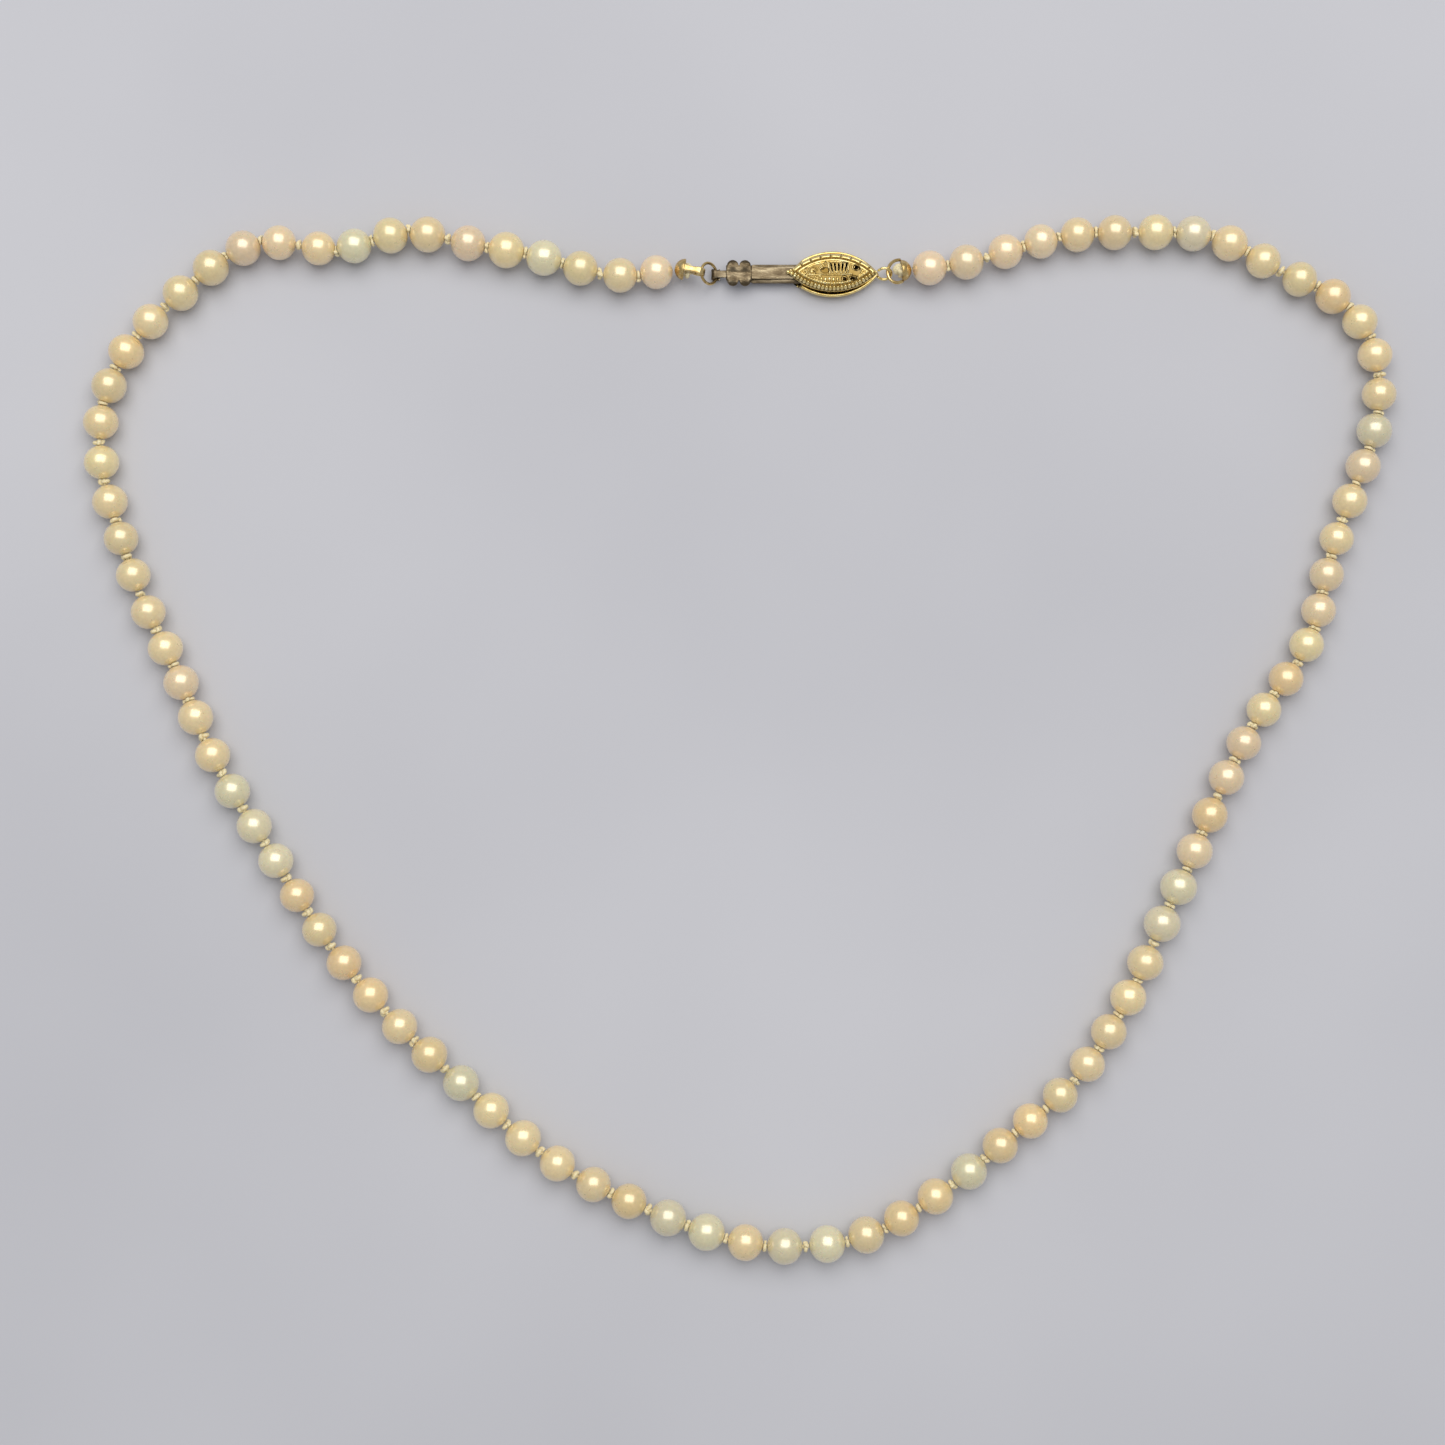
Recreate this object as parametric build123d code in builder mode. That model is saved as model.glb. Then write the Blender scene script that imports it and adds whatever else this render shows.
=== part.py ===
from build123d import *
import os
from math import atan2, cos, degrees, radians, sin, sqrt

# Single-row knotted pearl necklace with a marquise "fish hook" box clasp, lying on a flat
# surface in an open, slightly uneven loop. Units are millimetres. +X runs along the long
# side of the loop, +Y from the front pearls to the clasp, +Z up from the surface (z = 0).

os.makedirs("parts", exist_ok=True)

# ---------------------------------------------------------------- driving dimensions
HOLE_D = 0.62          # drill hole through every pearl
THREAD_D = 0.45        # silk cord
KNOT_D = 1.24          # hand-tied knot between two pearls
KNOT_CLEAR = 0.02      # knot to pearl
BEND_RANGE = 28.0      # outward swing in the plane at a bending knot, degrees
LIFT_RANGE = 25.0      # upward swing at a lifting knot, degrees
LIFT_LESS = {50: 20.0, 58: 20.0}   # two lifting knots that swing less, so both halves clear each other

HX, HY = 11.95, 58.10  # centre of the clasp housing
RIM_A, RIM_B = 5.80, 2.85      # half length and half width of the lower shell's rim
RIM_WALL = 0.60        # lower shell wall, wide enough to carry the upper shell on its ledge
TOP_A, TOP_B = 5.60, 2.35      # half length and half width of the upper shell
SPLIT_Z = 1.45         # joint between the two shells
HOUSING_H = 2.95       # top of the upper shell
WALL = 0.35            # upper shell wall
FLOOR_T = 0.35         # shell floor
MOUTH_HALF = 1.30      # half width of the mouth for the tongue
MOUTH_TOP = 2.05       # underside of the pointed plate over the mouth

BAR_X, BAR_Z, BAR_D, BAR_LEN = 8.95, 0.80, 0.50, 3.70   # catch bar across the mouth
LEAF_Z, LEAF_T, LEAF_HALF = 1.15, 0.25, 1.175           # lower leaf of the tongue
FOLD_X = 9.55          # folded inner end of the tongue
SPRING_T, SPRING_HALF, SPRING_RISE = 0.22, 0.75, 2.2    # upper leaf and its slope, degrees
TAB_X0, TAB_X1, TAB_T = -1.35, 1.87, 0.34               # thumb tab
CURL_X, CURL_Z, CURL_R, CURL_BORE, CURL_W = -2.62, 0.85, 0.58, 0.36, 1.50

RING_R, RING_WIRE = 1.30, 0.18         # jump ring: mean radius and wire radius
RING_TILT = 43.8                       # slope of the jump ring, rising to the left
RING_SEAT = 0.12                       # how far the ring's curve stands past the curl's axis

LOOP_R, LOOP_WIRE, LOOP_TILT = 0.875, 0.175, 50.0       # end loop of the housing
LINK_X, LINK_Z = 18.84, 1.50           # where the right tip's ring passes the end loop
TIP_RING_R, TIP_RING_WIRE, TIP_RING_TILT = 1.40, 0.20, 27.0
CUP_R, CUP_WALL, CUP_HOLE = 1.35, 0.20, 0.60            # bead-tip cup
END_KNOT_R = 0.84
TIP_LOOP_R, TIP_LOOP_BORE, TIP_LOOP_W = 0.85, 0.60, 1.00   # rolled hook of the left tip

# ---------------------------------------------------------------- the strand
# One row per pearl, from the left of the clasp round the front to its right:
# (pearl diameter, knot gap before it, heading of its drill hole in degrees).
START = (-7.78, 58.72)
CHAIN = [
    (4.30, 0.30, 193.9), (4.40, 0.22, 176.3), (4.45, 0.62, 163.9), (4.55, 0.22, 164.6),
    (4.60, 0.22, 171.8), (4.55, 0.25, 167.8), (4.55, 0.62, 167.7), (4.55, 0.22, 195.2),
    (4.40, 0.22, 196.9), (4.30, 0.22, 170.4), (4.40, 0.62, 173.3), (4.50, 0.22, 204.1),
    (4.55, 0.22, 218.9), (4.55, 0.35, 221.3), (4.50, 0.62, 226.2), (4.50, 0.34, 236.6),
    (4.45, 0.30, 250.6), (4.45, 0.23, 264.6), (4.40, 0.62, 278.2), (4.45, 0.60, 286.5),
    (4.35, 0.38, 287.6), (4.35, 0.46, 289.7), (4.35, 0.62, 295.0), (4.45, 0.60, 296.4),
    (4.45, 0.24, 293.2), (4.45, 0.22, 292.3), (4.45, 0.70, 296.7), (4.50, 0.61, 301.5),
    (4.45, 0.64, 302.8), (4.45, 0.61, 301.7), (4.35, 0.62, 301.6), (4.40, 0.69, 304.9),
    (4.45, 0.69, 308.7), (4.50, 0.69, 310.8), (4.50, 0.80, 315.0), (4.55, 0.54, 318.5),
    (4.55, 0.69, 318.0), (4.55, 0.49, 317.8), (4.60, 0.62, 320.6), (4.55, 0.69, 326.8),
    (4.45, 0.65, 333.1), (4.45, 0.40, 336.3), (4.60, 0.70, 338.1), (4.65, 0.43, 341.2),
    (4.55, 0.38, 349.4), (4.60, 0.30, 359.5), (4.65, 0.62, 6.8), (4.65, 0.32, 19.1),
    (4.55, 0.22, 31.0), (4.55, 0.43, 34.5), (4.55, 0.62, 38.6), (4.50, 0.47, 40.2),
    (4.45, 0.32, 37.9), (4.45, 0.43, 43.4), (4.50, 0.62, 53.7), (4.50, 0.31, 58.9),
    (4.55, 0.33, 61.4), (4.60, 0.22, 66.1), (4.65, 0.62, 66.8), (4.65, 0.32, 64.3),
    (4.55, 0.28, 66.9), (4.50, 0.32, 67.0), (4.45, 0.62, 64.3), (4.40, 0.36, 61.9),
    (4.40, 0.44, 55.4), (4.35, 0.35, 53.0), (4.35, 0.62, 64.1), (4.35, 0.22, 77.1),
    (4.30, 0.22, 76.5), (4.30, 0.36, 72.0), (4.40, 0.62, 69.0), (4.40, 0.24, 68.7),
    (4.45, 0.22, 75.9), (4.35, 0.22, 88.2), (4.35, 0.62, 103.3), (4.45, 0.22, 124.7),
    (4.45, 0.22, 147.8), (4.45, 0.23, 157.3), (4.45, 0.62, 149.2), (4.55, 0.22, 154.9),
    (4.50, 0.22, 174.9), (4.50, 0.22, 180.8), (4.45, 0.62, 180.2), (4.40, 0.23, 186.3),
    (4.35, 0.26, 194.7), (4.40, 0.22, 197.4), (4.45, 0.62, 193.0), (4.40, 0.22, 184.8),
]
END_GAP = 0.30
N = len(CHAIN)
GAP = [row[1] for row in CHAIN] + [END_GAP]
DIAM = [row[0] for row in CHAIN]

# Knots are the corners of the thread. Each pearl is centred on its own straight run, and
# every run lies at the height that lets its pearl touch the surface.
knot_xy = [Vector(*START)]
for i in range(N):
    run = DIAM[i] + (GAP[i] + GAP[i + 1]) / 2
    heading = radians(CHAIN[i][2])
    knot_xy.append(knot_xy[-1] + Vector(run * cos(heading), run * sin(heading)))
lift = [DIAM[0] / 2] + [(DIAM[i - 1] + DIAM[i]) / 4 for i in range(1, N)] + [DIAM[-1] / 2]
knots = [Vector(p.X, p.Y, z) for p, z in zip(knot_xy, lift)]
axes = [(knots[i + 1] - knots[i]).normalized() for i in range(N)]
centres = [knots[i] + axes[i] * (GAP[i] / 2 + DIAM[i] / 2) for i in range(N)]
lowest = min(centres[i].Z - DIAM[i] / 2 for i in range(N))
raise_by = Vector(0, 0, -lowest)
knots = [k + raise_by for k in knots]
centres = [c + raise_by for c in centres]

# Lengths of strand between two knots that bend. The front length is the root.
BREAKS = [0] + list(range(2, N - 1, 4)) + [N]
ROOT = 11
print("lengths of strand:", len(BREAKS) - 1, "root pearls", BREAKS[ROOT], BREAKS[ROOT + 1] - 1)
print("strand from knot to knot, mm:", round(sum((knots[i + 1] - knots[i]).length for i in range(N)), 1))
for name, point in (("first knot", knots[0]), ("last knot", knots[-1])):
    print(name, [round(v, 3) for v in (point.X, point.Y, point.Z)])



def swing_axis(j):
    """Axis of the bending knot j. Knots take turns: one bends in the plane, the next lifts."""
    left = j < BREAKS[ROOT] + 1
    rank = (BREAKS[ROOT] - j) // 4 if left else (j - BREAKS[ROOT + 1]) // 4
    if rank % 2 == 0:
        return Vector(0, 0, 1) if left else Vector(0, 0, -1)
    outward = (axes[j - 1] + axes[j]).normalized() * (-1 if left else 1)
    return Vector(0, 0, 1).cross(outward).normalized()


def swing_limit(j):
    left = j < BREAKS[ROOT] + 1
    rank = (BREAKS[ROOT] - j) // 4 if left else (j - BREAKS[ROOT + 1]) // 4
    return BEND_RANGE if rank % 2 == 0 else -LIFT_LESS.get(j, LIFT_RANGE)


for s in range(len(BREAKS) - 1):
    first, last = BREAKS[s], BREAKS[s + 1]

    with BuildPart() as pearls:
        for i in range(first, last):
            with Locations(Plane(origin=centres[i], z_dir=axes[i])):
                Sphere(DIAM[i] / 2)
        for i in range(first, last):
            with Locations(Plane(origin=centres[i], z_dir=axes[i])):
                Cylinder(HOLE_D / 2, DIAM[i] + 0.08, mode=Mode.SUBTRACT)
    pearls.part.label = f"pearls_{s + 1:02d}"
    export_step(pearls.part, f"parts/pearls_{s + 1:02d}.step")

    # A length owns the knots inside it and the bending knot on its far side from the root,
    # so the root owns both of its own. A bending knot is hollowed for the next pearl both
    # at rest and at the end of its swing.
    owns_low = s <= ROOT and first > 0
    owns_high = s >= ROOT and last < N
    own_knots = [j for j in range(first, last + 1) if first < j < last or (j == first and owns_low) or (j == last and owns_high)]
    hollows = [(centres[i], DIAM[i] / 2 + KNOT_CLEAR) for i in range(first, last)]
    for j, own, beyond in ((first, owns_low, first - 1), (last, owns_high, last)):
        if own:
            arm = centres[beyond] - knots[j]
            swung = knots[j] + arm.rotate(Axis((0, 0, 0), swing_axis(j)), swing_limit(j))
            hollows += [(centres[beyond], DIAM[beyond] / 2 + KNOT_CLEAR), (swung, DIAM[beyond] / 2 + KNOT_CLEAR)]
    with BuildPart() as silk:
        for j in own_knots:
            with Locations(Plane(origin=knots[j], z_dir=axes[j - 1] + axes[j])):
                Sphere(KNOT_D / 2)
        for centre, radius in hollows:
            with Locations(Plane(origin=centre, x_dir=(0, 0, 1), z_dir=(0.6, 0.8, 0))):
                Sphere(radius, mode=Mode.SUBTRACT)
        for i in range(first, last):
            inset = GAP[i] / 2 + 0.02 if i not in own_knots else 0.05
            outset = GAP[i + 1] / 2 + 0.02 if i + 1 not in own_knots else 0.05
            start, stop = knots[i] + axes[i] * inset, knots[i + 1] - axes[i] * outset
            with Locations(Plane(origin=(start + stop) / 2, z_dir=axes[i])):
                Cylinder(THREAD_D / 2, (stop - start).length)
    silk.part.label = f"silk_{s + 1:02d}"
    export_step(silk.part, f"parts/silk_{s + 1:02d}.step")
    print(silk.part.label, "solids", len(silk.solids()), [round(v.volume, 3) for v in silk.solids()], silk.part.is_valid)


# ---------------------------------------------------------------- clasp housing
def marquise(a, b):
    """Face between two equal arcs that meet in two points, half length a and half width b."""
    with BuildSketch() as outline:
        with BuildLine():
            ThreePointArc((-a, 0), (0, b), (a, 0))
            ThreePointArc((a, 0), (0, -b), (-a, 0))
        make_face()
    return outline.sketch


def level(z):
    return Plane(origin=(HX, HY, z))


with BuildPart() as clasp_bottom_shell:
    with BuildSketch(level(0)):
        add(marquise(RIM_A - 0.55, RIM_B - 0.40))
    with BuildSketch(level(0.60)):
        add(marquise(RIM_A, RIM_B))
    loft(ruled=True)
    with BuildSketch(level(0.60)):
        add(marquise(RIM_A, RIM_B))
    extrude(amount=SPLIT_Z - 0.60)
    with BuildSketch(level(FLOOR_T)):
        add(marquise(RIM_A - 0.80, RIM_B - RIM_WALL - 0.20))
    with BuildSketch(level(0.75)):
        add(marquise(RIM_A - 0.50, RIM_B - RIM_WALL))
    loft(ruled=True, mode=Mode.SUBTRACT)
    with BuildSketch(level(0.75)):
        add(marquise(RIM_A - 0.50, RIM_B - RIM_WALL))
    extrude(amount=SPLIT_Z - 0.75, mode=Mode.SUBTRACT)
    with Locations((7.75 - 2.0, HY, FLOOR_T + 1.0)):
        Box(4.0, 7.0, 2.0, mode=Mode.SUBTRACT)
    with Locations((8.10, HY, FLOOR_T + 1.0)):
        Box(1.2, 2 * MOUTH_HALF, 2.0, mode=Mode.SUBTRACT)
    with Locations(Plane(origin=(BAR_X, HY, BAR_Z), z_dir=(0, 1, 0))):
        Cylinder(BAR_D / 2, BAR_LEN, mode=Mode.SUBTRACT)
clasp_bottom_shell.part.label = "clasp_bottom_shell"
export_step(clasp_bottom_shell.part, "parts/clasp_bottom_shell.step")

with BuildPart() as clasp_top_shell:
    with BuildSketch(level(SPLIT_Z)):
        add(marquise(TOP_A, TOP_B))
    extrude(amount=2.35 - SPLIT_Z)
    with BuildSketch(level(2.35)):
        add(marquise(TOP_A, TOP_B))
    with BuildSketch(level(HOUSING_H)):
        add(marquise(TOP_A - 0.85, TOP_B - 0.62))
    loft(ruled=True)
    with BuildSketch(level(SPLIT_Z)):
        add(marquise(TOP_A - 0.60, TOP_B - WALL))
    extrude(amount=0.75, mode=Mode.SUBTRACT)
    with BuildSketch(level(SPLIT_Z + 0.75)):
        add(marquise(TOP_A - 0.60, TOP_B - WALL))
    with BuildSketch(level(HOUSING_H - 0.35)):
        add(marquise(TOP_A - 1.50, TOP_B - 1.05))
    loft(ruled=True, mode=Mode.SUBTRACT)
    with Locations((7.75 - 2.0, HY, MOUTH_TOP - 1.0)):
        Box(4.0, 7.0, 2.0, mode=Mode.SUBTRACT)
    with Locations((8.10, HY, MOUTH_TOP - 1.0)):
        Box(1.2, 2 * MOUTH_HALF, 2.0, mode=Mode.SUBTRACT)
    # pierced openings of the filigree: a fan of slits and three round windows
    with Locations((12.75, HY + 0.55, HOUSING_H)):
        with GridLocations(0.52, 0, 5, 1):
            Box(0.24, 1.10, 1.2, mode=Mode.SUBTRACT)
    with Locations((10.95, HY + 0.30, HOUSING_H), (15.05, HY + 0.35, HOUSING_H), (12.95, HY - 0.85, HOUSING_H)):
        Cylinder(0.30, 1.4, mode=Mode.SUBTRACT)
clasp_top_shell.part.label = "clasp_top_shell"
export_step(clasp_top_shell.part, "parts/clasp_top_shell.step")

with BuildPart() as clasp_catch_bar:
    with Locations(Plane(origin=(BAR_X, HY, BAR_Z), z_dir=(0, 1, 0))):
        Cylinder(BAR_D / 2, BAR_LEN)
clasp_catch_bar.part.label = "clasp_catch_bar"
export_step(clasp_catch_bar.part, "parts/clasp_catch_bar.step")

loop_x = LINK_X + TIP_RING_WIRE + LOOP_WIRE + 0.05 - LOOP_R
with BuildPart() as clasp_end_loop:
    with Locations(Plane(origin=(loop_x, HY, LINK_Z), x_dir=(1, 0, 0), z_dir=(0, -sin(radians(LOOP_TILT)), cos(radians(LOOP_TILT))))):
        Torus(LOOP_R, LOOP_WIRE)
    add(clasp_bottom_shell.part, mode=Mode.SUBTRACT)
    add(clasp_top_shell.part, mode=Mode.SUBTRACT)
clasp_end_loop.part.label = "clasp_end_loop"
export_step(clasp_end_loop.part, "parts/clasp_end_loop.step")

# ---------------------------------------------------------------- tongue
with BuildPart() as tongue_base:
    with BuildSketch(Plane(origin=(0, HY, LEAF_Z))):
        with BuildLine():
            Polyline(
                (FOLD_X, -0.95), (FOLD_X, 0.95), (FOLD_X - 0.35, LEAF_HALF), (1.90, LEAF_HALF), (1.30, 0.62),
                (-1.30, 0.46), (-2.55, 0.46), (-2.55, -0.46), (-1.30, -0.46), (1.30, -0.62),
                (1.90, -LEAF_HALF), (FOLD_X - 0.35, -LEAF_HALF), close=True,
            )
        make_face()
    extrude(amount=LEAF_T)
    with Locations(Plane(origin=(CURL_X, HY, CURL_Z), z_dir=(0, 1, 0))):
        Cylinder(CURL_R, CURL_W)
        Cylinder(CURL_BORE, CURL_W + 0.2, mode=Mode.SUBTRACT)
tongue_base.part.label = "tongue_base"
export_step(tongue_base.part, "parts/tongue_base.step")

hook_x = BAR_X + BAR_D / 2 + 0.03
with BuildPart() as tongue_catch_hook:
    with BuildSketch(Plane(origin=(0, HY, 0), x_dir=(1, 0, 0), z_dir=(0, -1, 0))):
        with BuildLine():
            Polyline(
                (hook_x, LEAF_Z), (hook_x + 0.24, LEAF_Z), (hook_x + 0.24, 0.39), (BAR_X - 0.05, 0.39),
                (BAR_X - 0.05, 0.50), (hook_x, 0.50), close=True,
            )
        make_face()
    extrude(amount=0.60, both=True)
tongue_catch_hook.part.label = "tongue_catch_hook"
export_step(tongue_catch_hook.part, "parts/tongue_catch_hook.step")


def leaf_z(x):
    """Underside of the spring leaf: it rises away from the fold."""
    return LEAF_Z + LEAF_T + 0.05 + (FOLD_X - x) * sin(radians(SPRING_RISE))


slope = Plane(
    origin=(FOLD_X, HY, leaf_z(FOLD_X)),
    x_dir=(-cos(radians(SPRING_RISE)), 0, sin(radians(SPRING_RISE))),
    z_dir=(sin(radians(SPRING_RISE)), 0, cos(radians(SPRING_RISE))),
)
with BuildPart() as tongue_spring_leaf:
    with BuildSketch(slope):
        with Locations(((FOLD_X - TAB_X1) / 2 + 0.2, 0)):
            Rectangle(FOLD_X - TAB_X1 + 0.4, 2 * SPRING_HALF)
    extrude(amount=SPRING_T)
    with BuildSketch(slope):
        with Locations((FOLD_X - (TAB_X0 + TAB_X1) / 2, 0)):
            Rectangle(TAB_X1 - TAB_X0, 2.0)
        with Locations(*[(FOLD_X - x, y) for x in (-0.52, 1.02) for y in (-0.93, 0.93)]):
            Circle(0.71)
    extrude(amount=TAB_T)
tongue_spring_leaf.part.label = "tongue_spring_leaf"
export_step(tongue_spring_leaf.part, "parts/tongue_spring_leaf.step")

# ---------------------------------------------------------------- jump ring
ring_dir = Vector(-cos(radians(RING_TILT)), 0, sin(radians(RING_TILT)))
ring_c = Vector(CURL_X, HY, CURL_Z) + ring_dir * (RING_R - RING_SEAT)
with BuildPart() as jump_ring:
    with Locations(Plane(origin=ring_c, x_dir=ring_dir, z_dir=Vector(0, 1, 0).cross(ring_dir))):
        Torus(RING_R, RING_WIRE)
jump_ring.part.label = "jump_ring"
export_step(jump_ring.part, "parts/jump_ring.step")
ring_left = ring_c + ring_dir * RING_R
print("jump ring far wire", [round(v, 3) for v in (ring_left.X, ring_left.Y, ring_left.Z)])

# ---------------------------------------------------------------- left bead tip
# Local x runs from the jump ring's far wire to the first pearl.
first_knot = knots[0]
left_dir = Vector(first_knot.X - ring_left.X, first_knot.Y - ring_left.Y, 0)
left_len = left_dir.length
left_dir = left_dir.normalized()
left_side = Vector(0, 0, 1).cross(left_dir)
cup_z = first_knot.Z
left_cup = Vector(ring_left.X, ring_left.Y, cup_z) + left_dir * (left_len + GAP[0] / 2 - 0.20 - CUP_R)
left_loop = ring_left + left_dir * 0.36
print("left tip direction, degrees", round(degrees(atan2(left_dir.Y, left_dir.X)), 2))

with BuildPart() as bead_tip_left:
    with Locations(Plane(origin=left_cup, z_dir=left_dir)):
        Sphere(CUP_R)
        Sphere(CUP_R - CUP_WALL, mode=Mode.SUBTRACT)
    # open the cup on the clasp side
    with Locations(Plane(origin=left_cup - left_dir * 2.0, z_dir=left_dir)):
        Cylinder(3.0, 4.0, mode=Mode.SUBTRACT)
    with Locations(Plane(origin=left_cup + left_dir * CUP_R, z_dir=left_dir)):
        Cylinder(CUP_HOLE / 2, 1.2, mode=Mode.SUBTRACT)
    # strip from the cup's lip to the rolled hook
    with BuildSketch(Plane(origin=Vector(ring_left.X, ring_left.Y, 0), x_dir=left_dir, z_dir=left_side * -1)):
        reach = (left_cup - Vector(ring_left.X, ring_left.Y, cup_z)).length
        with BuildLine():
            Polyline(
                (0.36, left_loop.Z + TIP_LOOP_R), (0.36, left_loop.Z + TIP_LOOP_BORE + 0.02),
                (reach + 0.10, cup_z + CUP_R - 0.23), (reach + 0.12, cup_z + CUP_R - 0.03), close=True,
            )
        make_face()
    extrude(amount=0.42, both=True)
    with Locations(Plane(origin=left_loop, z_dir=left_side)):
        Cylinder(TIP_LOOP_R, TIP_LOOP_W)
        Cylinder(TIP_LOOP_BORE, TIP_LOOP_W + 0.2, mode=Mode.SUBTRACT)
bead_tip_left.part.label = "bead_tip_left"
export_step(bead_tip_left.part, "parts/bead_tip_left.step")

with BuildPart() as end_knot_left:
    with Locations(Plane(origin=left_cup + left_dir * 0.05, z_dir=left_dir)):
        Sphere(END_KNOT_R)
    with Locations(Plane(origin=left_cup + left_dir * (CUP_R / 2 + 0.03), z_dir=left_dir)):
        Cylinder(THREAD_D / 2, CUP_R - 0.06)
end_knot_left.part.label = "end_knot_left"
export_step(end_knot_left.part, "parts/end_knot_left.step")

# ---------------------------------------------------------------- right bead tip
# Local x runs from the housing's end loop to the last pearl.
link = Vector(LINK_X, HY, LINK_Z)
last_knot = knots[-1]
right_dir = Vector(last_knot.X - link.X, last_knot.Y - link.Y, 0)
right_len = right_dir.length
right_dir = right_dir.normalized()
right_side = Vector(0, 0, 1).cross(right_dir)
cup_zr = last_knot.Z
right_cup = Vector(link.X, link.Y, cup_zr) + right_dir * (right_len + END_GAP / 2 - 0.07 - CUP_R)
slant = right_dir * cos(radians(TIP_RING_TILT)) + Vector(0, 0, sin(radians(TIP_RING_TILT)))
tip_ring_c = link + slant * TIP_RING_R
print("right tip direction, degrees", round(degrees(atan2(right_dir.Y, right_dir.X)), 2))

with BuildPart() as bead_tip_right:
    with Locations(Plane(origin=tip_ring_c, x_dir=slant, z_dir=right_side.cross(slant))):
        Torus(TIP_RING_R, TIP_RING_WIRE)
    # the bail stops at the cup's rim
    with Locations(Plane(origin=right_cup + right_dir * 2.10, z_dir=right_dir)):
        Cylinder(3.0, 4.0, mode=Mode.SUBTRACT)
    with BuildSketch(Plane(origin=right_cup, x_dir=right_dir, z_dir=right_side)):
        with BuildLine():
            CenterArc((0, 0), CUP_R, 0, 90)
            Line((0, CUP_R), (0, CUP_R - CUP_WALL))
            CenterArc((0, 0), CUP_R - CUP_WALL, 90, -90)
            Line((CUP_R - CUP_WALL, 0), (CUP_R, 0))
        make_face()
    revolve(axis=Axis(right_cup, right_dir), revolution_arc=360)
    with Locations(Plane(origin=right_cup + right_dir * CUP_R, z_dir=right_dir)):
        Cylinder(CUP_HOLE / 2, 1.2, mode=Mode.SUBTRACT)
bead_tip_right.part.label = "bead_tip_right"
export_step(bead_tip_right.part, "parts/bead_tip_right.step")

with BuildPart() as end_knot_right:
    with Locations(Plane(origin=right_cup + right_dir * 0.05, z_dir=right_dir)):
        Sphere(END_KNOT_R)
    with Locations(Plane(origin=right_cup + right_dir * (CUP_R / 2 + 0.06), z_dir=right_dir)):
        Cylinder(THREAD_D / 2, CUP_R)
end_knot_right.part.label = "end_knot_right"
export_step(end_knot_right.part, "parts/end_knot_right.step")
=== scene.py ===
import math
import random
from math import asin, atan2, cos, pi, radians, sin, sqrt

import bmesh
import bpy
import numpy as np
from mathutils import Matrix, Vector, noise


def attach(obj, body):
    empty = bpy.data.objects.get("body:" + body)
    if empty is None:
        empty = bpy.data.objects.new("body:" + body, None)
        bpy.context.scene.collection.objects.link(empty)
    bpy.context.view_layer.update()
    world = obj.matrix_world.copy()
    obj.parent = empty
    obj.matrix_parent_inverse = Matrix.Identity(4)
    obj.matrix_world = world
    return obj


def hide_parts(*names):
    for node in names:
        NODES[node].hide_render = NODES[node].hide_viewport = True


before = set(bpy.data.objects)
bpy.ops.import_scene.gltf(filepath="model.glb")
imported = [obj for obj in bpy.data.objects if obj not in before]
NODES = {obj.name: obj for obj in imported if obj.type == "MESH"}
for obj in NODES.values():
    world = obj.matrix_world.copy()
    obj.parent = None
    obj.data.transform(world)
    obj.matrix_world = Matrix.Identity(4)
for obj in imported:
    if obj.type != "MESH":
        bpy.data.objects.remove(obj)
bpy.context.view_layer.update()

# All sizes below are millimetres in the row frame; MM turns them into metres.
MM = 0.001

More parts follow.
